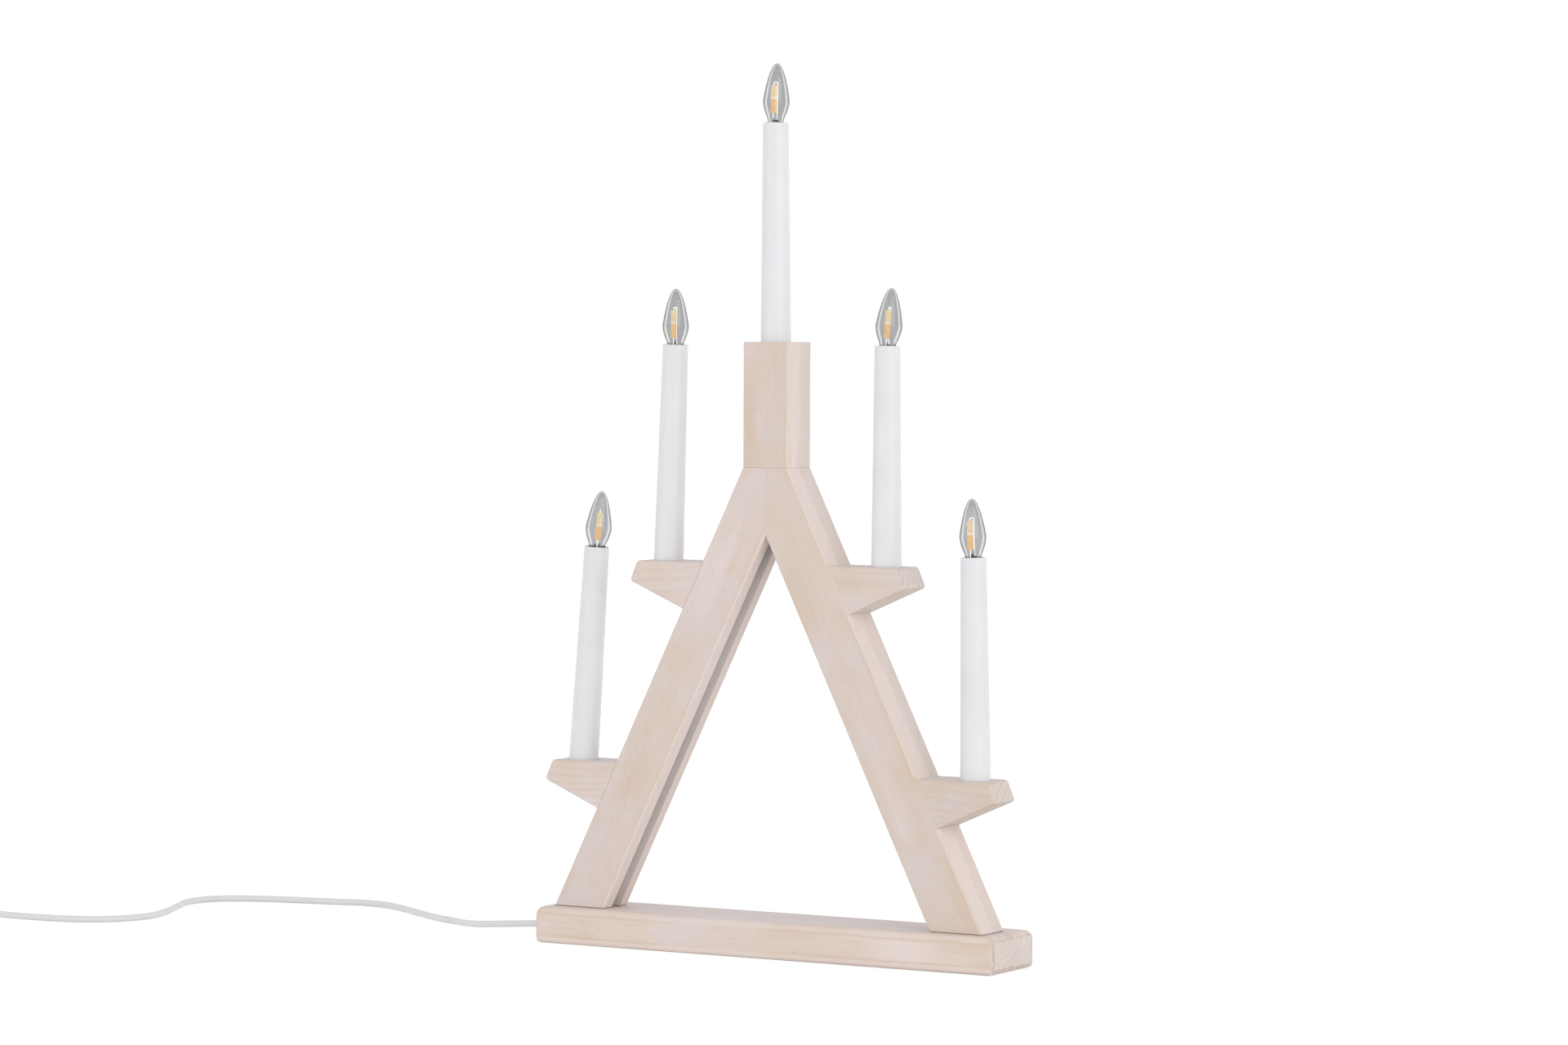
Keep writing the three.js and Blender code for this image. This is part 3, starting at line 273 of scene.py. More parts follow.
def placed(rows, origin, axis, spin=0.0):
    """Rows turned by spin about Z, then leaned in the XZ plane on to the axis, then
    moved to the origin."""
    turn = Matrix.Rotation(math.atan2(axis[0], axis[2]), 3, "Y") @ Matrix.Rotation(spin, 3, "Z")
    return rows @ np.array(turn).T + np.array(origin)


def axis_of(node):
    """The lower end, direction and length of a round node. Its corners spread furthest
    along its own axis, the first eigenvector of their covariance."""
    points = np.array([v.co for v in frame["nodes"][node].data.vertices], float)
    points = np.unique(points.round(6), axis=0)
    middle = points.mean(axis=0)
    direction = np.linalg.eigh(np.cov((points - middle).T))[1][:, -1]
    direction = direction * np.sign(direction[2])
    along = (points - middle) @ direction
    return middle + direction * along.min(), direction, along.max() - along.min()


def middle_of(node):
    return np.mean(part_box(node), axis=0)


def right_end(node):
    """The middle of a node's right-hand end."""
    _, y, z = middle_of(node)
    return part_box(node)[1].x, y, z


def nodes_named(start):
    return sorted(name for name in frame["nodes"] if name.startswith(start))


# Meshes and objects


def skin(name, rows, material, slot, nodes, body=STAND, loop=False, sharp=35):
    """A closed surface over rows of points that each go once round. Quads join each row
    to the next. With loop the last row is joined to the first, and otherwise a fan to
    its own middle closes each end. The attribute "along" runs from 0 to 1 over the rows."""
    count, around = rows.shape[:2]
    index = np.arange(count * around).reshape(count, around)
    lower = index if loop else index[:-1]
    upper = np.roll(index, -1, axis=0) if loop else index[1:]
    quads = stacked(lower, np.roll(lower, -1, axis=1), np.roll(upper, -1, axis=1), upper)
    faces = quads.reshape(-1, 4).tolist()
    points = rows.reshape(-1, 3)
    if not loop:
        first, last = index[0], index[-1]
        foot, tip = len(points), len(points) + 1
        points = np.concatenate([points, [rows[0].mean(axis=0)], [rows[-1].mean(axis=0)]])
        faces += stacked(np.roll(first, -1), first, foot).tolist()
        faces += stacked(last, np.roll(last, -1), tip).tolist()
    mesh = bpy.data.meshes.new(name)
    mesh.from_pydata(points.tolist(), [], faces)
    along = np.repeat(np.linspace(0, 1, count), around)
    along = np.concatenate([along, [0, 1]])[: len(points)]
    mesh.attributes.new("along", "FLOAT", "POINT").data.foreach_set("value", along)
    return dressed(name, mesh, material, slot, nodes, body, sharp)


def fine_copy(node, part, material, slot, sharp=50, levels=0, bevel=0.0):
    """A copy of a CAD node with its triangles merged into one smooth-shaded surface,
    bevelled or rounded by a subdivision surface where that is asked for."""
    work = bmesh.new()
    work.from_mesh(frame["nodes"][node].data)
    bmesh.ops.remove_doubles(work, verts=work.verts, dist=1e-6)
    if levels or bevel:
        angles = {"angle_face_threshold": 0.6, "angle_shape_threshold": 1.2}
        bmesh.ops.join_triangles(work, faces=work.faces, **angles)
    name = f"{node}_{part}"
    mesh = bpy.data.meshes.new(name)
    work.to_mesh(mesh)
    work.free()
    mesh.materials.clear()
    piece = dressed(name, mesh, material, slot, (node,), STAND, sharp)
    if not (bevel or levels):
        even_normals(mesh, math.radians(sharp))
    if bevel:
        soften = piece.modifiers.new("Soft edges", "BEVEL")
        soften.width = bevel
        soften.segments = 3
        soften.harden_normals = True
    if levels:
        rounding = piece.modifiers.new("Rounding", "SUBSURF")
        rounding.levels = rounding.render_levels = levels


def even_normals(mesh, sharp):
    """Each corner's normal is the sum, weighted by area, of the normals of those faces
    round its point that turn from its own face by less than the sharp angle."""

    def read(items, name, kind, width=1):
        values = np.empty((len(items), width), kind)
        items.foreach_get(name, values.ravel())
        return values

    size = read(mesh.polygons, "loop_total", np.int32)[:, 0]
    point = read(mesh.loops, "vertex_index", np.int32)[:, 0]
    area = np.repeat(read(mesh.polygons, "area", np.float32), size, axis=0)
    normal = np.repeat(read(mesh.polygons, "normal", np.float32, 3), size, axis=0)
    joined = (point[:, None] == point) & (normal @ normal.T > math.cos(sharp))
    total = joined.astype(np.float32) @ (normal * area)
    mesh.normals_split_custom_set(unit(total))


def linked(name, data):
    item = bpy.data.objects.new(name, data)
    bpy.context.scene.collection.objects.link(item)
    return item


def dressed(name, mesh, material, slot, nodes, body, sharp):
    """A piece that rides on a body, with its finish, in place of CAD nodes."""
    mesh.shade_smooth()
    mesh.set_sharp_from_angle(angle=math.radians(sharp))
    piece = linked(name, mesh)
    mesh.materials.append(material)
    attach(piece, body)
    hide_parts(*nodes)
    return piece


# Materials


def fill(tree, node, inputs):
    """Links a node's inputs to sockets, or sets them to values."""
    for key, value in inputs.items():
        socket = node.inputs[key]
        if isinstance(value, bpy.types.NodeSocket):
            tree.links.new(value, socket)
        else:
            socket.default_value = (*value, 1.0) if socket.type == "RGBA" else value


def new_node(tree, kind, inputs=None, output=0, **settings):
    """Adds a node and gives one of its outputs."""
    node = tree.nodes.new(f"ShaderNode{kind}")
    for key, value in settings.items():
        setattr(node, key, value)
    fill(tree, node, inputs or {})
    return node.outputs[output]


class Nodes:
    """A short way to build a material: a call adds nodes and gives their output."""

    def __init__(self, name, shader):
        self.material = bpy.data.materials.new(name)
        self.material.use_nodes = True
        self.tree = self.material.node_tree
        self.set(shader)
        self.place = self.add("TexCoord", output="Object")

    def set(self, inputs):
        fill(self.tree, self.tree.nodes["Principled BSDF"], inputs)

    def add(self, kind, inputs=None, output=0, **settings):
        return new_node(self.tree, kind, inputs, output, **settings)

    def moved(self, vector=None, turn=(0, 0, 0), shift=(0, 0, 0), stretch=(1, 1, 1)):
        place = {"Vector": vector or self.place, "Location": shift}
        return self.add("Mapping", {**place, "Rotation": turn, "Scale": stretch})

    def noise(self, vector, scale=1.0, detail=2.0, roughness=0.5):
        inputs = {"Vector": vector, "Scale": scale, "Detail": detail, "Roughness": roughness}
        return self.add("TexNoise", inputs)

    def fine(self, vector, *stretch, **noise):
        """Noise whose scale differs along X, Y and Z."""
        return self.noise(self.moved(vector, stretch=stretch), **noise)

    def ramp(self, value, *stops):
        """The value read off a line through stops of (position, grey level)."""
        output = self.add("ValToRGB", {"Fac": value})
        elements = output.node.color_ramp.elements
        while len(elements) < len(stops):
            elements.new(0.5)
        for element, (position, level) in zip(elements, stops):
            element.position = position
            element.color = (level, level, level, 1.0)
        return output

    def mix(self, factor, a, b):
        return self.add("Mix", {0: factor, 6: a, 7: b}, 2, data_type="RGBA")

    def lay(self, tone, *amounts):
        """Lays a tone over the one so far, as thick as the product of the amounts."""
        thick = amounts[0]
        for amount in amounts[1:]:
            thick = self.times(thick, amount)
        self.tone = self.mix(thick, self.tone, tone)

    def span(self, value, low, high):
        """The value's range 0 to 1 brought to low to high."""
        return self.add("MapRange", {"Value": value, "To Min": low, "To Max": high})

    def share(self, value, low, high):
        """0 at low, 1 at high, even in between, and the other way with low above high."""
        return self.add("MapRange", {"Value": value, "From Min": low, "From Max": high})

    def math(self, operation, a, b=0.0):
        return self.add("Math", {0: a, 1: b}, operation=operation)

    def plus(self, a, b):
        return self.math("ADD", a, b)

    def minus(self, a, b):
        return self.math("SUBTRACT", a, b)

    def times(self, a, b):
        return self.math("MULTIPLY", a, b)

    def inset(self, value, middle, half):
        """The half less the value's distance from the middle."""
        return self.minus(half, self.math("ABSOLUTE", self.minus(value, middle)))

    def dot(self, vector, way):
        return self.add("VectorMath", {0: vector, 1: way}, "Value", operation="DOT_PRODUCT")

    def axes(self, vector):
        return self.add("SeparateXYZ", {0: vector}).node.outputs

    def along(self):
        return self.add("Attribute", output="Fac", attribute_name="along")

    def finished(self, tone, roughness, height, strength, depth):
        """The material, with its tone, its roughness and its bumps."""
        bump = self.add("Bump", {"Height": height, "Strength": strength, "Distance": depth})
        self.set({"Base Color": tone, "Roughness": roughness, "Normal": bump})
        return self.material


def shaded(tone, light):
    return tuple(part * light for part in tone)


def whitewashed_pine(node, turn, pith, pale, thick, figure, girth=None, side=0):
    """Pine with its grain along X once the piece is turned by `turn` about Y. The rings
    are a wave over the distance from the pith, which lies across and up from the piece's
    own middle, so the ends show arcs and the sides long figure. The wash's clouds run
    over the joints from piece to piece, and streaks along the grain show the wood without
    its wash. Faces turned up get a painted sheen. Bars have a girth and painted highlights
    on their arrises, and legs have a side, -1 or 1."""
    look = bpy.context.scene.candlestick_wood
    wash, cream = shaded(look.wash, pale), shaded(look.cream, pale)
    upright = Matrix.Rotation(turn, 3, "Y")
    middle = upright @ Vector(middle_of(node))
    if side:
        # the bar's own middle line, which its box doesn't share
        middle.z = -side * (LEG_REACH + girth[1] / 2 * MM)
    # along the grain too, each piece lies elsewhere in the noise
    start = Vector((7 * pith[0], *pith)) * MM
    n = Nodes(f"whitewashed_pine_{node}", {"Specular IOR Level": 0.3})
    place = n.moved(turn=(0, turn, 0), shift=start - middle)
    sway = n.fine(place, 6, 26, 26)
    bend = n.add("CombineXYZ", {"Y": n.span(sway, -0.01, 0.01), "Z": n.span(sway, 0.007, -0.007)})
    waves = {
        "Vector": n.add("VectorMath", {0: place, 1: bend}),
        "Scale": 2 * math.pi / (20 * look.ring_spacing),
        "Distortion": 2.2,
        "Detail": 2.0,
        "Detail Scale": 0.2,
    }
    wave = {"wave_type": "RINGS", "rings_direction": "X", "wave_profile": "SAW"}
    rings = n.add("TexWave", waves, "Fac", **wave)
    slanted = n.moved(place, turn=(0, 0.12, 0.15), stretch=(11, 42, 42))
    streaks = n.noise(slanted, detail=5.0, roughness=0.6)
    fibres = n.fine(place, 30, 900, 900, detail=3.0, roughness=0.6)
    pores = n.fine(place, 110, 700, 700, detail=1.0)
    clouds = n.noise(n.place, 22.0, detail=4.0, roughness=0.6)
    patches = n.noise(n.moved(shift=(4, 2, 1)), 13.0)
    normal = n.add("NewGeometry", output="Normal")
    ends = n.share(n.math("ABSOLUTE", n.dot(normal, upright[0])), 0.75, 0.9)
    n.tone = n.mix(n.ramp(clouds, (0.42 + thick, 0.0), (0.58 + thick, 1.0)), wash, cream)
    bared = n.times(n.share(streaks, 0.48, 0.66), n.ramp(patches, (0.40, 0.3), (0.6, 1.0)))
    n.lay(look.bare, bared, look.streaks)
    n.lay(shaded(wash, 1.06), n.share(n.fine(place, 9, 30, 30), 0.56, 0.7))
    sides = 0.0
    if turn:
        # planed sides: pale along the front edge and pinker behind, with a wavy border
        sides = n.share(n.math("ABSOLUTE", n.dot(normal, upright[2])), 0.5, 0.7)
        wander = n.span(n.noise(place, 34.0), -8 * MM, 8 * MM)
        front = n.share(n.plus(n.axes(n.place)[1], wander), -6.5 * MM, -8.5 * MM)
        n.lay(n.mix(front, PLANED_REAR, PLANED_FRONT), sides, 0.85)
    n.lay(END_GRAIN, ends, 0.6)
    # painted sheen: faces turned up get a greyer tone
    n.lay(TOP_SHEEN, n.share(n.axes(normal)[2], 0.9, 1.0), 0.7)
    line = n.ramp(rings, (0.0, 0.0), (0.55, 0.12), (0.86, 0.9), (0.93, 1.0), (1.0, 0.1))
    shown = n.plus(n.times(n.ramp(patches, (0.42, 1.0), (0.6, 0.2)), figure), ends)
    n.lay(look.late, line, shown, look.rings)
    n.lay(look.late, n.ramp(fibres, (0.45, 0.0), (0.8, 0.1)))
    n.lay(look.late, n.ramp(pores, (0.68, 0.0), (0.78, 0.3)))
    if girth:
        lit_arrises = n.minus(1.0, n.math("MAXIMUM", ends, sides))
        if turn:
            # an upright bar gets its painted highlights on the right-hand arrises only
            lit_arrises = n.times(lit_arrises, n.share(n.axes(place)[2], start.z, start.z - 1 * MM))
        if side == 1:
            lit_arrises = n.times(lit_arrises, off_the_shelves(n))
        arris_highlights_and_rims(n, place, start, girth, lit_arrises, ends, n.share(patches, 0.38, 0.55))
    if side:
        leg_painted_shade(n, streaks, side)
    height = n.plus(n.times(fibres, 0.7), n.times(rings, 0.2))
    return n.finished(n.tone, n.span(fibres, 0.52, 0.74), height, 0.3, 0.1 * MM)


def off_the_shelves(n):
    """0 where a shelf is glued to the right leg, and 1 from 2 mm above and below it."""
    height = n.axes(n.place)[2]
    free = 1.0
    for shelf in ("shelf_upper_right", "shelf_lower_right"):
        foot, top = (corner.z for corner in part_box(shelf))
        over = n.share(height, top, top + 2 * MM)
        under = n.share(height, foot, foot - 2 * MM)
        free = n.times(free, n.plus(over, under))
    return free


def arris_highlights_and_rims(n, place, middle, girth, lit_arrises, ends, warmer):
    """Long arrises with a painted highlight, a thin line of painted shade beside them, and
    a dark rim round the ends. The depths under a bar's two nearest faces tell where: their
    sum is small at an arris, and one of them at a rim."""
    deep, wide, edge = (size * MM for size in girth)
    _, across, up = n.axes(place)
    y = n.inset(across, middle.y, deep / 2)
    z = n.inset(up, middle.z, wide / 2)
    uneven = n.fine(place, 40, 150, 150)
    wander = n.span(uneven, -1 * MM, 1 * MM)
    depth = n.plus(n.plus(y, z), wander)
    arris_shade_line = n.times(n.share(depth, edge + 3.2 * MM, edge + 2.2 * MM), warmer)
    # painted shade: a thin darker line beside each arris highlight, in the unwashed wood's tone
    n.lay(bpy.context.scene.candlestick_wood.bare, arris_shade_line, lit_arrises, 0.55)
    # painted highlight along the arris
    n.lay(ARRIS_HIGHLIGHT, n.share(depth, edge + 1.6 * MM, edge + 0.8 * MM), lit_arrises, 0.6)
    rim = n.share(n.plus(n.math("MINIMUM", y, z), wander), edge + 0.9 * MM, edge + 0.3 * MM)
    n.lay(END_RIM, rim, n.share(uneven, 0.36, 0.46), ends, 0.4)


def leg_painted_shade(n, streaks, side):
    """Painted shade in the groove along the leg's inner face, with a painted shadow on its
    front wall that darkens upwards, and a painted shadow line where the leg meets the base."""
    groove_y, groove_half, groove_depth, base_top = -6.5 * MM, 5.1 * MM, 11 * MM, 24 * MM
    _, y, z = n.axes(n.place)
    outward = n.dot(n.place, (side * math.cos(LEG_LEAN), 0, math.sin(LEG_LEAN)))
    depth = n.minus(outward, LEG_REACH)
    inside = n.share(n.inset(y, groove_y, groove_half), 0.0, 0.08 * MM)
    begun = n.share(depth, 0.1 * MM, 0.5 * MM)
    ended = n.share(depth, groove_depth, groove_depth - 0.6 * MM)
    wall = n.share(y, groove_y - 3.4 * MM, groove_y - 4.4 * MM)
    wall = n.times(wall, n.ramp(z, (0.0, 0.25), (0.2, 0.3), (0.28, 0.9)))
    # painted shade: a greyer tone in the groove and a shadow on its front wall
    dull = n.mix(wall, n.mix(streaks, GROOVE_SHADE_DEEP, GROOVE_SHADE_LIGHT), GROOVE_WALL_SHADOW)
    n.lay(dull, inside, begun, ended)
    # painted shadow line where the leg stands on the base
    n.lay(LEG_FOOT_SHADOW, n.share(z, base_top + 0.9 * MM, base_top + 0.4 * MM), 0.8)


def satin_plastic(name, tone, roughness=0.38, grain=1200.0, bump=0.06, subsurface=0.0):
    """Moulded plastic: a fine skin texture and a slow, faint change of gloss and tone."""
    n = Nodes(name, {"Subsurface Weight": subsurface, "Subsurface Scale": 1.5 * MM})
    slow = n.noise(n.place, 45.0)
    tint = n.mix(n.ramp(slow, (0.35, 0.0), (0.65, 1.0)), tone, shaded(tone, 0.965))
    gloss = n.span(slow, roughness - 0.05, roughness + 0.06)
    return n.finished(tint, gloss, n.noise(n.place, grain), bump, 0.05 * MM)


def bright_metal(name, tone, roughness=0.26, drawn=(60, 60, 900), painted_glint=0.0):
    """Plated metal with fine drawn lines and small changes of gloss. Where asked for, white
    emission paints a highlight that keeps thin wires bright."""
    n = Nodes(name, {"Metallic": 1.0, "Emission Strength": painted_glint})
    lines = n.fine(n.place, *drawn)
    dull = n.noise(n.place, 400.0, detail=3.0)
    tint = n.mix(n.ramp(dull, (0.3, 0.0), (0.8, 1.0)), tone, shaded(tone, 0.82))
    gloss = n.span(lines, roughness - 0.08, roughness + 0.14)
    return n.finished(tint, gloss, lines, 0.12, 0.02 * MM)


def clear_glass(name, tone, edge=False):
    """Clear blown glass with real walls and slow waves in its surface. With edge, a painted
    reflection darkens its outer skin where it is seen side-on, and a painted glint lies
    inside the dark rim."""
    n = Nodes(name, {"Transmission Weight": 1.0, "IOR": 1.47})
    waves = n.noise(n.place, 90.0, detail=1.0)
    tint = n.mix(waves, tone, shaded(tone, 0.98))
    if edge:
        # painted reflection: the outer skin's tint darkens where it is seen side-on, and it turns
        # opaque at the very rim
        facing = n.add("LayerWeight", {"Blend": 0.5}, "Facing")
        outer = n.share(n.along(), 0.50, 0.52)
        dark = [
            (0.0, 0.42), (0.28, 0.40), (0.31, 1.0), (0.43, 1.0), (0.47, 0.5), (0.58, 0.5),
            (0.66, 0.02),
        ]
        tint = n.mix(outer, tint, n.ramp(facing, *dark))
        solid = n.times(n.share(facing, 0.60, 0.66), outer)
        # painted glint: a coat of high IOR in one band of facing
        glint = n.ramp(facing, (0.28, 0.0), (0.31, 1.0), (0.43, 1.0), (0.47, 0.0))
        n.set({"Transmission Weight": n.span(solid, 1.0, 0.1)})
        n.set({"Coat Weight": n.times(glint, outer), "Coat IOR": 3.0})
    return n.finished(tint, 0.0, waves, 0.02, 0.1 * MM)


def phosphor(name, tone):
    """The light rod's silicone coating: orange below, pale yellow above as a painted
    reflection, with the join between the two halves painted light as a highlight and a
    darker dot over each diode under it. The coating emits in its own tone, as painted light."""
    # painted light: the coating emits in its own tone
    n = Nodes(name, {"Emission Strength": 0.85})
    dots = n.add("TexVoronoi", {"Vector": n.place, "Scale": 620.0})
    along = n.along()
    # painted reflection: the upper half is paler
    base = n.mix(n.share(along, 0.45, 0.75), tone, (0.95, 0.78, 0.46))
    base = n.mix(n.ramp(dots, (0.1, 0.25), (0.5, 0.0)), base, shaded(tone, 0.8))
    # painted highlight on the join between the halves
    join_highlight = n.ramp(along, (0.48, 0.0), (0.53, 0.8), (0.57, 0.8), (0.62, 0.0))
    tone = n.mix(join_highlight, base, (0.97, 0.92, 0.8))
    n.set({"Emission Color": tone})
    return n.finished(tone, 0.42, dots, 0.15, 0.05 * MM)


# The pieces, a group to each operator


class Maker:
    """What the operators share: each makes its group of pieces, or the stage."""

    bl_options = {"REGISTER", "UNDO"}

    def execute(self, context):
        self.make(context.scene)
        return {"FINISHED"}


class CANDLESTICK_OT_wood(Maker, Operator):
    """Dresses the base, legs, post and shelves in whitewashed pine"""

    bl_idname = "candlestick.wood"
    bl_label = "Wooden Frame"

    def make(self, scene):
        upright = math.radians(90)
        # the turn that brings the grain to X, the pith's place from the middle, how pale
        # the wash is and how much thicker than usual, how much the rings show, and for
        # bars the depth, width and edge, in millimetres, and a leg's side
        bars = {
            "base_board": (0, (38, -46), 1.06, 0.0, 0.5, (57, 24, 3)),
            "left_leg": (upright - LEG_LEAN, (-34, 22), 0.99, 0.07, 0.3, (28, 34.1, 0.7), -1),
            "right_leg": (upright + LEG_LEAN, (41, -27), 0.98, -0.05, 0.3, (28, 34.1, 0.7), 1),
            "top_post": (upright, (-30, 12), 0.97, -0.06, 0.4, (28, 33.5, 0.7)),
            "shelf_lower_left": (0, (33, 48), 1.02, 0.05, 1.0),
            "shelf_upper_left": (0, (-42, 35), 1.03, 0.06, 1.0),
            "shelf_upper_right": (0, (47, -31), 1.0, 0.08, 1.0),
            "shelf_lower_right": (0, (-29, 52), 0.96, -0.06, 1.0),
        }
        for node, bar in bars.items():
            fine_copy(node, "wood", whitewashed_pine(node, *bar), "wood")


class CANDLESTICK_OT_screws(Maker, Operator):
    """Adds the four screws that hold the legs, with cross recesses in their heads"""

    bl_idname = "candlestick.screws"
    bl_label = "Leg Screws"

    def within(self, value, edge):
        """1 below the edge and 0 above it, with a ramp of 0.16 mm over it."""
        return np.clip((edge - value) / (0.16 * MM) + 0.5, 0, 1)

    def screw(self, reach):
        """A countersunk wood screw standing on its head. The head's flat is lifted in
        two crossed slots, each a product of ramps, and the shank's thread is a wave
        along a helix that starts above its plain part."""
        radius, shank, head, recess = 4 * MM, 1.95 * MM, 3 * MM, 1.5 * MM
        arm, half, plain = radius * 0.62, 0.5 * MM, head + 2 * MM
        flat = turned(stacked(radius * np.linspace(0.03, 0.95, 26), 0), 64)
        x, y = np.abs(flat[..., 0]), np.abs(flat[..., 1])
        slots = [self.within(a, arm) * self.within(b, half) for a, b in ((x, y), (y, x))]
        flat[..., 2] = recess * np.maximum(*slots)
        corners = [
            (radius * 0.96, 0), (radius, 0), (radius, 0.5 * MM), (shank, head), (shank, plain),
        ]
        side = turned(rounded(corners, 0.15 * MM), 64)
        rise = np.linspace(plain + 0.2 * MM, reach - 0.1 * MM, 190)
        taper = np.interp(rise, [head, reach - 6 * MM, reach], [shank, shank, 0.2 * MM])
        core = turned(stacked(taper, rise), 64)
        thread = threaded(core, head + 8 * MM, reach - 0.2 * MM, 1.8 * MM, 0.16 * MM)
        return np.concatenate([flat, side, thread])

    def make(self, scene):
        steel = bright_metal("zinc_plated_steel", (0.62, 0.63, 0.64), 0.3)
        for node in nodes_named("leg_screw_"):
            low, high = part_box(node)
            x, y, _ = middle_of(node)
            rows = self.screw(high.z - low.z) + [x, y, low.z]
            skin(f"{node}_steel", rows, steel, "screw_metal", (node,))


class CANDLESTICK_OT_tubes(Maker, Operator):
    """Adds the five tapered candle tubes"""

    bl_idname = "candlestick.tubes"
    bl_label = "Candle Tubes"

    def make(self, scene):
        sizes = scene.candlestick_candles
        white = satin_plastic("candle_white", sizes.plastic, 0.30, 500.0, 0.01, 0.12)
        foot, rim, wall = sizes.foot_radius, sizes.rim_radius, sizes.wall
        start = (foot - wall / 2, 0)
        for candle in CANDLES:
            node = f"candle_tube_{candle}"
            origin, axis, height = axis_of(node)
            outside = np.linspace((foot, 0), (rim, height), 11)
            bore = np.linspace((rim - wall, height), (foot - wall, 0), 11)
            profile = rounded([start, *outside, *bore, start], sizes.rim_round, 5)[:-1]
            rows = placed(turned(profile, sizes.segments), origin, axis)
            skin(f"{node}_shell", rows, white, "candle_plastic", (node,), loop=True)


def on_lamp(candle, kind, slot, carrier, sharp=35, **parts):
    """Puts parts in place of a candle's node of one kind. Each has a name, rows from the
    middle of the tube's rim up the lamp's axis, and a material."""
    joint = next(j for j in frame["joints"] if j["name"] == f"bulb_{candle}_turn")
    node = f"{kind}_{candle}"
    for part, (rows, material) in parts.items():
        rows = placed(rows, joint["pos_m"], joint["axis"], math.radians(CANDLES[candle]))
        skin(f"{node}_{part}", rows, material, slot, (node,), carrier, sharp=sharp)


def with_thread(below, low, high, radius, above, sizes):
    """A turned profile, in millimetres, with a threaded stretch of one radius between
    the heights low and high, which may run either way."""
    stretch = stacked(radius, np.linspace(low, high, 60))
    profile = np.concatenate([rounded(below, 0.25, 3), stretch, rounded(above, 0.25, 3)]) * MM
    low, high = sorted((low * MM, high * MM))
    return threaded(turned(profile, 60), low, high, sizes.pitch, sizes.thread_depth)


class CANDLESTICK_OT_holders(Maker, Operator):
    """Adds the lampholders in the tops of the tubes, each with a tapped thread"""

    bl_idname = "candlestick.holders"
    bl_label = "Lampholders"

    def make(self, scene):
        white = satin_plastic("holder_white", (0.78, 0.78, 0.75), 0.42)
        outside = [
            (0.05, -17.8), (5.6, -17.8), (5.6, -5.6), (6.15, -5.2), (6.15, -3.0), (6.6, -2.6),
            (6.6, -0.4), (5.65, -0.4), (5.65, -4.6), (4.97, -4.6),
        ]
        inside = [
            (4.97, -10.95), (5.07, -11.1), (5.07, -16.2), (1.6, -16.2), (1.6, -15.3), (0.05, -15.3),
        ]
        rows = with_thread(outside, -4.7, -10.9, 4.97, inside, scene.candlestick_lamps)
        for candle in CANDLES:
            on_lamp(candle, "lampholder", "holder_plastic", STAND, body=(rows, white))


class CANDLESTICK_OT_caps(Maker, Operator):
    """Adds the screw caps of the lamps with their insulators, and the contacts below"""

    bl_idname = "candlestick.caps"
    bl_label = "Lamp Caps"

    def make(self, scene):
        brass = bright_metal("cap_brass", (0.74, 0.60, 0.33), 0.24)
        tin = bright_metal("contact_tin", (0.66, 0.66, 0.64), 0.34, (300, 300, 300))
        dark = satin_plastic("insulator_dark", (0.03, 0.03, 0.035), 0.22)
        outside = [(0.05, -12.45), (4.1, -12.45), (4.25, -12.3)]
        inside = [
            (4.25, -4.2), (5.3, -3.7), (5.3, -1.7), (4.9, -1.7), (4.9, -3.5), (3.6, -4.6),
            (3.6, -11.6), (0.05, -11.6),
        ]
        shell = with_thread(outside, -12.2, -4.3, 4.73, inside, scene.candlestick_lamps)
        corners = [(0.05, -13.4), (2.9, -13.4), (4.05, -12.5), (0.05, -12.5)]
        insulator = turned(rounded(corners, 0.3) * MM, 40)
        corners = [(0.05, -15), (1.5, -15), (2.0, -14.5), (2.0, -13.7), (0.05, -13.7)]
        button = turned(rounded(corners, 0.35) * MM, 40)
        cap = {"shell": (shell, brass), "insulator": (insulator, dark)}
        for candle in CANDLES:
            on_lamp(candle, "bulb_cap", "cap_metal", f"bulb_{candle}", **cap)
            on_lamp(candle, "bulb_contact", "cap_metal", f"contact_{candle}", tin=(button, tin))


class CANDLESTICK_OT_glasses(Maker, Operator):
    """Adds the flame-shaped glasses of the lamps"""

    bl_idname = "candlestick.glasses"
    bl_label = "Lamp Glasses"

    def outline(self, wall):
        """Half of the flame, from its neck to near its tip, as a smooth curve through
        measured radii, drawn in by the wall at right angles to itself."""
        points = [
            (4.5, -3.6), (4.75, -1.2), (5.5, 2.2), (7.35, 7), (8.45, 12.4), (7.75, 18),
            (6.6, 23.6), (5.1, 29.2), (3.2, 34), (1.7, 36.2), (0.4, 36.97),
        ]
        line = smooth_route(points, 8) * MM
        way = unit(np.gradient(line, axis=0))
        inner = line - wall * stacked(way[:, 1], -way[:, 0])
        return inner[inner[:, 0] > 0.05 * MM]

    def make(self, scene):
        sizes = scene.candlestick_lamps
        clear = clear_glass("clear_glass", sizes.glass, edge=True)
        rows = turned([*self.outline(sizes.glass_wall)[::-1], *self.outline(0)], 72)
        for candle in CANDLES:
            on_lamp(candle, "bulb_glass", "glass", f"bulb_{candle}", sharp=60, shell=(rows, clear))


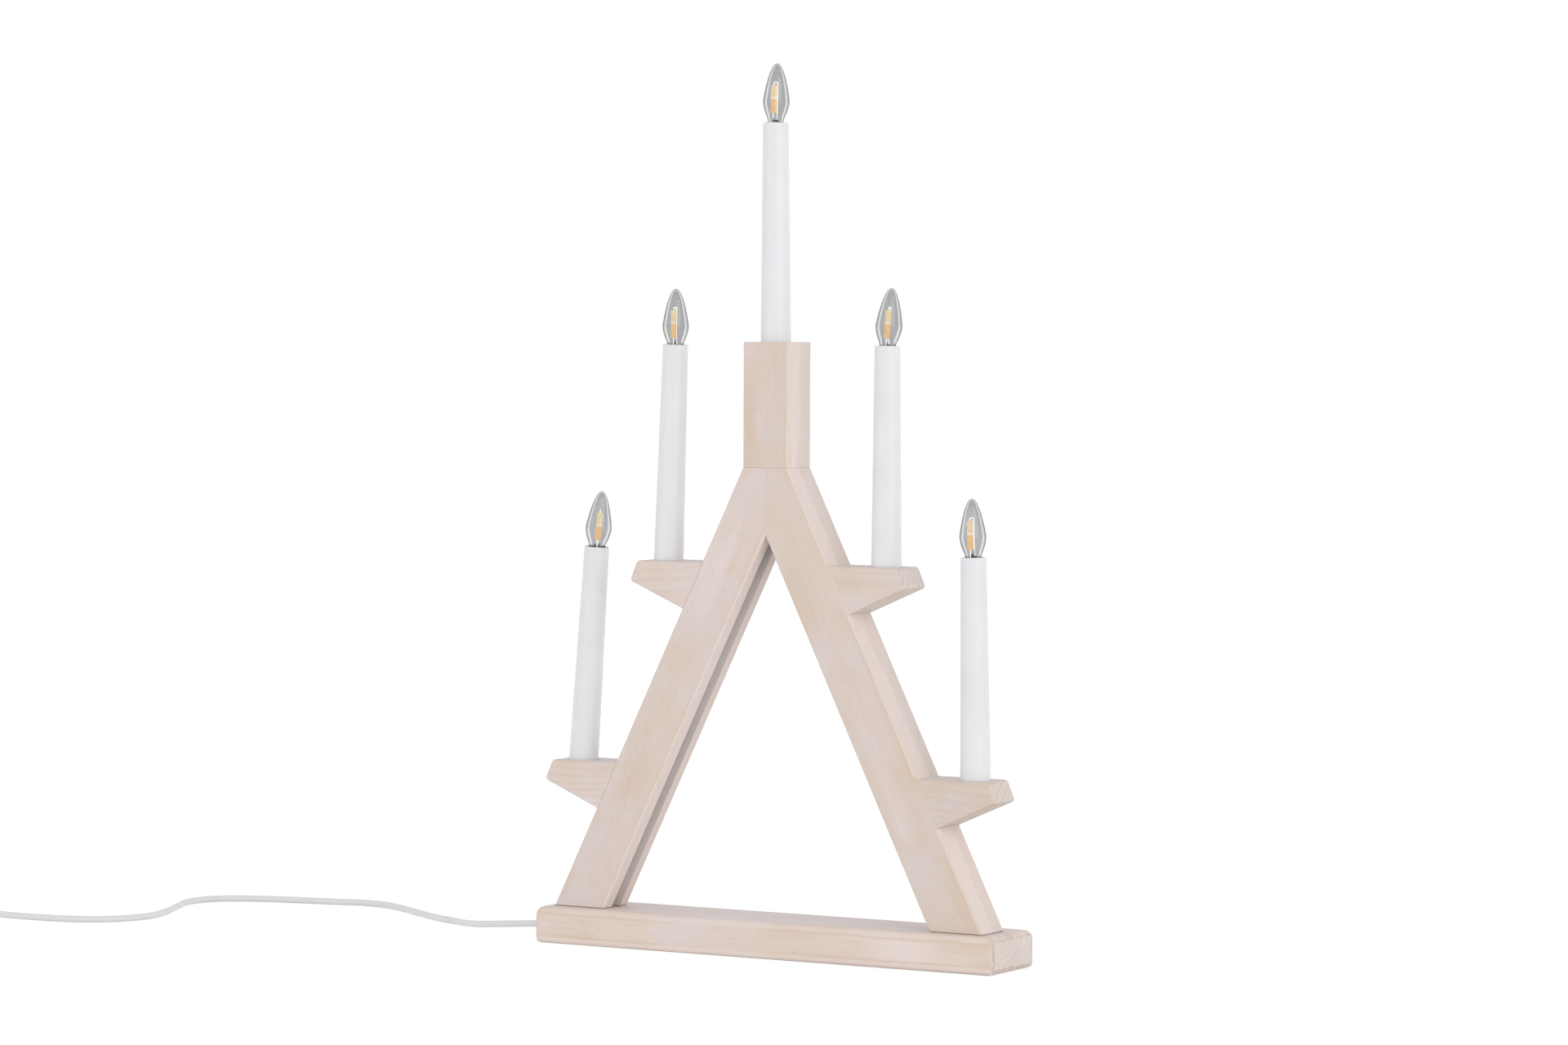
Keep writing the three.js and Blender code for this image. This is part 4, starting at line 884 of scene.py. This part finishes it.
class CANDLESTICK_OT_filaments(Maker, Operator):
    """Adds the light rods with their wires and glass stems"""

    bl_idname = "candlestick.filaments"
    bl_label = "Light Rods"

    def make(self, scene):
        sizes = scene.candlestick_lamps
        # the rod's coating emits: painted light
        coat = phosphor("rod_coating_painted_light", sizes.coating)
        # the wires' white emission is a painted highlight
        nickel = bright_metal("wire_nickel_painted_glint", (0.95, 0.95, 0.93), 0.3, (200, 200, 200), 1.0)
        clear = clear_glass("stem_glass", sizes.glass)
        radius, foot = sizes.rod_radius, sizes.rod_foot
        top = foot + sizes.rod_length
        # the rod stands beside the lamp's axis, and the hook bends over it and down
        x, hook, over = -1.9 * MM, 0.8 * MM, 24.85 * MM
        side = stacked(radius, np.linspace(foot + 1 * MM, top - 1 * MM, 24))
        line = [(0.02 * MM, foot), (radius, foot), *side, (radius, top), (0.02 * MM, top)]
        rod = turned(rounded(line, 0.9 * MM), 32) + [x, 0, 0]
        line = [(0.05, -3.5), (3.0, -3.5), (2.3, 0), (0.9, 4.4), (0.7, 4.9), (0.05, 4.9)]
        stem = turned(rounded(line, 0.5, 6) * MM, 40)
        line = [(x, top - 0.6 * MM), (x, over), (hook, over), (hook, 1.2 * MM)]
        across, up = rounded(line, 0.55 * MM, 6).T
        wire = superellipse(sizes.wire / 2, sizes.wire / 2, sides=12)
        hooked = swept(stacked(across, 0, up), wire, (0, 1, 0))
        riser = swept(np.linspace((x, 0, -1.2 * MM), (x, 0, foot + 0.6 * MM), 6), wire, (0, 1, 0))
        glass = {"rod": (rod, coat), "stem": (stem, clear)}
        wires = {"hook": (hooked, nickel), "riser": (riser, nickel)}
        for candle in CANDLES:
            on_lamp(candle, "bulb_filament", "filament", f"bulb_{candle}", **glass, **wires)


class CANDLESTICK_OT_leads(Maker, Operator):
    """Rounds the leads between the lamps and adds the cord's end and its clamp"""

    bl_idname = "candlestick.leads"
    bl_label = "Leads and Clamp"

    def make(self, scene):
        white = satin_plastic("lead_white", (0.78, 0.78, 0.76), 0.4)
        for node in nodes_named("lead_"):
            fine_copy(node, "wire", white, "lead_plastic", sharp=70, levels=2)
        moulded = satin_plastic("clamp_white", (0.78, 0.78, 0.75), 0.42)
        fine_copy("cord_clamp", "block", moulded, "holder_plastic", sharp=40, bevel=0.3 * MM)
        radius = scene.candlestick_cord.radius
        x, y, z = right_end("cord_in_base")
        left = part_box("cord_in_base")[0].x - 0.05 * MM
        path = np.linspace((left, y, z), (x, y, z), 12)
        rows = swept(path, superellipse(radius, radius))
        skin("cord_in_base_sheath", rows, white, "lead_plastic", ("cord_in_base",))


class CANDLESTICK_OT_cord(Maker, Operator):
    """Lays the mains cord with its coil, tie and plug"""

    bl_idname = "candlestick.cord"
    bl_label = "Cord and Plug"

    def coil(self, sizes):
        """A spiral inwards on the surface and one outwards on top of it. After t turns
        the radius is the outer one less a pitch for each turn inwards and more for each
        turn outwards, and the height rises by a pitch round the innermost turn."""
        pitch = 2 * sizes.radius + sizes.coil_gap
        outer = sizes.coil_radius + pitch * sizes.turns
        low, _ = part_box("cord_coil")
        t = np.linspace(0, 2 * sizes.turns, int(80 * sizes.turns) + 1)
        radius = outer - pitch * (np.minimum(t, sizes.turns) - np.maximum(t - sizes.turns, 0))
        angle = -np.pi / 2 - 2 * np.pi * t
        x = low.x + sizes.radius + outer + radius * np.cos(angle)
        y = low.y + sizes.radius + outer + radius * np.sin(angle)
        climb = smoothstep(t, sizes.turns - 0.25, sizes.turns + 0.25)
        spiral = stacked(x, y, sizes.coil_level + pitch * climb)
        run = np.array([2 * sizes.radius, 0, 0])
        return np.concatenate([[spiral[0] + run], spiral, [spiral[-1] - run]])

    def ribs(self, way, start, end, pitch, depth, steep):
        """Grooves between start and end: the lower halves of a steep sine wave."""
        wave = np.clip(np.sin((way - start) / pitch * 2 * np.pi) * steep, -1, 0)
        return depth * wave * ((way > start) & (way < end))

    def plug(self, x, y, z):
        """A flat two-pin plug lying on the surface, lofted along -X: superellipses that
        grow as a sine from a ribbed round sleeve to a flat face with rounded edges."""
        sleeve, widest, edge, total = 22 * MM, 47 * MM, 0.9 * MM, 56 * MM
        way = np.concatenate([
            np.linspace(0, sleeve, 45),
            np.linspace(sleeve + 0.6 * MM, widest, 44),
            np.linspace(widest + 1 * MM, total - edge, 8),
            total - edge * (1 - np.linspace(0.15, 1, 6)),
        ])
        on_sleeve = way <= sleeve
        grown = np.sin(np.clip((way - sleeve) / (widest - sleeve), 0, 1) * np.pi / 2)
        tube = 2.7 * MM + 1.3 * MM * np.clip(way / sleeve, 0, 1)
        tube += self.ribs(way, 0, sleeve, 3.1 * MM, 0.35 * MM, 2)
        grip = self.ribs(way, 29 * MM, 46 * MM, 3.4 * MM, 0.5 * MM, 1.5)
        # half the body's width and thickness, where it starts and at its widest
        narrow, broad, thin, full = 5.6 * MM, 17.65 * MM, 4.76 * MM, 6.85 * MM
        wide = np.where(on_sleeve, tube, narrow + (broad - narrow) * grown + grip)
        thick = np.where(on_sleeve, tube, thin + (full - thin) * grown)
        close = np.clip((way - (total - edge)) / edge, 0, 1)
        inset = edge * (1 - np.sqrt(1 - close ** 2))
        power = np.where(on_sleeve, 2.0, 2.0 + 1.4 * grown)
        sizes = zip(wide - inset, thick - inset, power)
        rings = np.array([superellipse(*size, 56) for size in sizes])
        return stacked(x - way[:, None], y - rings[..., 0], z + rings[..., 1])

    def band(self, low, high, thickness):
        """A flat strap round a rectangle in the XZ plane with half-round ends, as wide
        as the box in Y: an inner and an outer outline, apart by the thickness."""
        inner = (high.z - low.z) / 2 - thickness
        reach = inner + np.array([0, thickness, thickness, 0])
        y = np.array([low.y, low.y, high.y, high.y])
        turn = np.linspace(-np.pi / 2, np.pi / 2, 13)
        turn = np.concatenate([turn, turn + np.pi])[:, None]
        ends = high.x - thickness - inner, low.x + thickness + inner
        x = np.repeat(ends, 13)[:, None] + reach * np.cos(turn)
        return stacked(x, y, (low.z + high.z) / 2 + reach * np.sin(turn))

    def pin(self, node, nickel, white):
        """A round pin along -X: a metal tip and the sleeve round its other half."""
        metal = [(0.05, 9.8), (1.7, 9.8), (2.0, 10.3), (2.0, 17.2), (1.5, 19), (0.05, 19)]
        cover = [(0.05, 0), (1.85, 0), (1.85, 10), (0.05, 10)]
        parts = (
            ("tip", rounded(metal, 0.7, 5), nickel, "screw_metal"),
            ("sleeve", rounded(cover, 0.2, 3), white, "lead_plastic"),
        )
        start, y, z = right_end(node)
        for part, profile, material, slot in parts:
            rows = turned(profile * MM, 32)
            rows = stacked(start - rows[..., 2], y + rows[..., 1], z + rows[..., 0])
            yield skin(f"{node}_{part}", rows, material, slot, (node,))

    def make(self, scene):
        sizes = scene.candlestick_cord
        white = satin_plastic("cord_white", sizes.plastic, 0.4, 900.0, 0.08)
        strap = satin_plastic("strap_white", (0.78, 0.78, 0.76), 0.34)
        nickel = bright_metal("pin_nickel", (0.68, 0.67, 0.64), 0.22, (900, 60, 60))
        coil = self.coil(sizes)
        route = smooth_route(np.concatenate([np.array(CORD_ROUTE) * MM, coil[:1]]), 12)
        plug_x, plug_y, plug_z = right_end("plug_body")
        run = np.linspace(0, 1, 13)[1:]
        x, y, z = coil[-1]
        tail = stacked(x - run * (x - plug_x), y, z + (plug_z - z) * smoothstep(run, 0.1, 0.9))
        path = np.concatenate([route, coil, tail])
        rows = swept(path, superellipse(sizes.radius, sizes.radius, sides=20))
        nodes = ("cord_lead", "cord_coil", "cord_tail")
        cord = skin("mains_cord", rows, white, "lead_plastic", nodes)
        rows = self.plug(plug_x, plug_y, plug_z)
        plug = skin("plug_body_moulding", rows, white, "lead_plastic", ("plug_body",))
        rows = self.band(*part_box("coil_tie"), 0.6 * MM)
        tie = skin("coil_tie_strap", rows, strap, "holder_plastic", ("coil_tie",), loop=True)
        pieces = [plug, tie]
        for node in ("plug_pin_front", "plug_pin_rear"):
            pieces += self.pin(node, nickel, white)
        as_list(pieces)


class CANDLESTICK_OT_stage(Maker, Operator):
    """Sets up the floor, the lights, the surroundings and the camera"""

    bl_idname = "candlestick.stage"
    bl_label = "Stage"

    def show(self, tree, soft, white, direct, output):
        """Shows the soft shader, but to rays from metal and glass only the white one,
        and to the camera's own rays a `direct` share of it."""
        rays = new_node(tree, "LightPath").node.outputs
        total = new_node(tree, "Math", {0: rays["Is Camera Ray"], 1: direct}, operation="MULTIPLY")
        for name in ("Is Glossy Ray", "Is Transmission Ray"):
            total = new_node(tree, "Math", {0: total, 1: rays[name]}, operation="MAXIMUM")
        mix = new_node(tree, "MixShader", {0: total, 1: soft, 2: white})
        tree.links.new(mix, tree.nodes[output].inputs["Surface"])

    def floor(self):
        """Matte paper that takes shadows, with much of its own white for the camera."""
        size, level = 12.0, -0.2 * MM
        corners = [(x * size, y * size, level) for x, y in ((-1, -1), (1, -1), (1, 1), (-1, 1))]
        mesh = bpy.data.meshes.new("floor")
        mesh.from_pydata(corners, [], [(0, 1, 2, 3)])
        linked("floor", mesh)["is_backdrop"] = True
        paper = bpy.data.materials.new("floor_paper")
        paper.use_nodes = True
        tree = paper.node_tree
        tree.nodes.remove(tree.nodes["Principled BSDF"])
        matte = new_node(tree, "BsdfDiffuse", {"Color": (0.95, 0.95, 0.95)})
        white = new_node(tree, "Emission", {"Color": (1, 1, 1), "Strength": 1.12})
        self.show(tree, matte, white, 0.78, "Material Output")
        mesh.materials.append(paper)

    def surroundings(self, strength):
        """Light from all round, dimmer towards the ceiling, so that tops are greyer than
        fronts. What the camera sees of it, and metal and glass, is plain white."""
        world = bpy.data.worlds.new("studio")
        bpy.context.scene.world = world
        world.use_nodes = True
        tree = world.node_tree
        tree.nodes.remove(tree.nodes["Background"])
        way = new_node(tree, "TexCoord", output="Generated")
        height = new_node(tree, "SeparateXYZ", {0: way}, "Z")
        fall = {"Value": height, "To Min": strength * 1.35, "To Max": strength * 0.55}
        dim = new_node(tree, "MapRange", fall)
        soft = new_node(tree, "Background", {"Color": (0.98, 0.99, 1), "Strength": dim})
        white = new_node(tree, "Background", {"Color": (1, 1, 1)})
        self.show(tree, soft, white, 1.0, "World Output")

    def lamp(self, name, power, place, size, tone):
        """A rectangular light that points at the candlestick's middle."""
        data = bpy.data.lights.new(name, "AREA")
        data.shape = "RECTANGLE"
        data.size, data.size_y = size
        data.energy = power
        data.color = tone
        lamp = linked(name, data)
        way = Vector((0, 0, 0.25)) - Vector(place)
        lamp.rotation_euler = way.to_track_quat("-Z", "Y").to_euler()
        lamp.location = place

    def camera(self):
        """The photograph's camera: its place, the way it looks and its roll, with the
        focal length that 1920 pixels across a 36 mm sensor give."""
        yaw, pitch, roll = math.radians(30.127), math.radians(2.28), math.radians(0.227)
        focal_pixels, sensor = 6420.6, 36
        data = bpy.data.cameras.new("camera")
        data.sensor_width = sensor
        data.lens = focal_pixels * sensor / 1920
        camera = linked("camera", data)
        turn = Matrix.Rotation(yaw, 4, "Z") @ Matrix.Rotation(math.pi / 2 - pitch, 4, "X")
        turn = turn @ Matrix.Rotation(roll, 4, "Z")
        camera.matrix_world = Matrix.Translation((1.6798, -2.8915, 0.4101)) @ turn
        bpy.context.scene.camera = camera

    def make(self, scene):
        look = scene.candlestick_stage
        scene.view_settings.view_transform = "Standard"
        self.floor()
        self.surroundings(look.surround)
        self.lamp("key_light", look.key, (2.3, -1.1, 1.1), (1.6, 2.0), (1.0, 0.99, 0.97))
        self.lamp("fill_light", look.fill, (-1.4, -2.4, 1.2), (2.0, 2.0), (0.97, 0.98, 1.0))
        self.camera()


class CANDLESTICK_PT_panel(Panel):
    """Lists the candlestick's operators and what can be changed"""

    bl_idname = "CANDLESTICK_PT_panel"
    bl_label = "Advent Candlestick"
    bl_space_type = "VIEW_3D"
    bl_region_type = "UI"
    bl_category = "Candlestick"

    def draw(self, context):
        for name, group in GROUPS.items():
            box = self.layout.box()
            for setting in group.__annotations__:
                box.prop(getattr(context.scene, name), setting)
        for operator in OPERATORS:
            self.layout.operator(operator.bl_idname)


GROUPS = {
    "candlestick_wood": WoodLook,
    "candlestick_candles": CandleSizes,
    "candlestick_lamps": LampSizes,
    "candlestick_cord": CordSizes,
    "candlestick_stage": StageLook,
}
OPERATORS = (
    CANDLESTICK_OT_stage, CANDLESTICK_OT_cord, CANDLESTICK_OT_wood, CANDLESTICK_OT_screws,
    CANDLESTICK_OT_tubes, CANDLESTICK_OT_holders, CANDLESTICK_OT_caps, CANDLESTICK_OT_glasses,
    CANDLESTICK_OT_filaments, CANDLESTICK_OT_leads,
)


def register():
    for item in (*GROUPS.values(), *OPERATORS, CANDLESTICK_PT_panel):
        bpy.utils.register_class(item)
    for name, group in GROUPS.items():
        setattr(bpy.types.Scene, name, PointerProperty(type=group))


def unregister():
    for name in GROUPS:
        delattr(bpy.types.Scene, name)
    for item in reversed((*GROUPS.values(), *OPERATORS, CANDLESTICK_PT_panel)):
        bpy.utils.unregister_class(item)


def main():
    register()
    for operator in OPERATORS:
        group, name = operator.bl_idname.split(".")
        getattr(getattr(bpy.ops, group), name)()
    boxes = {"cad": cad_box, "visual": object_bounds()}
    {name: [list(corner) for corner in box] for name, box in boxes.items()}


if __name__ == "__main__":
    main()
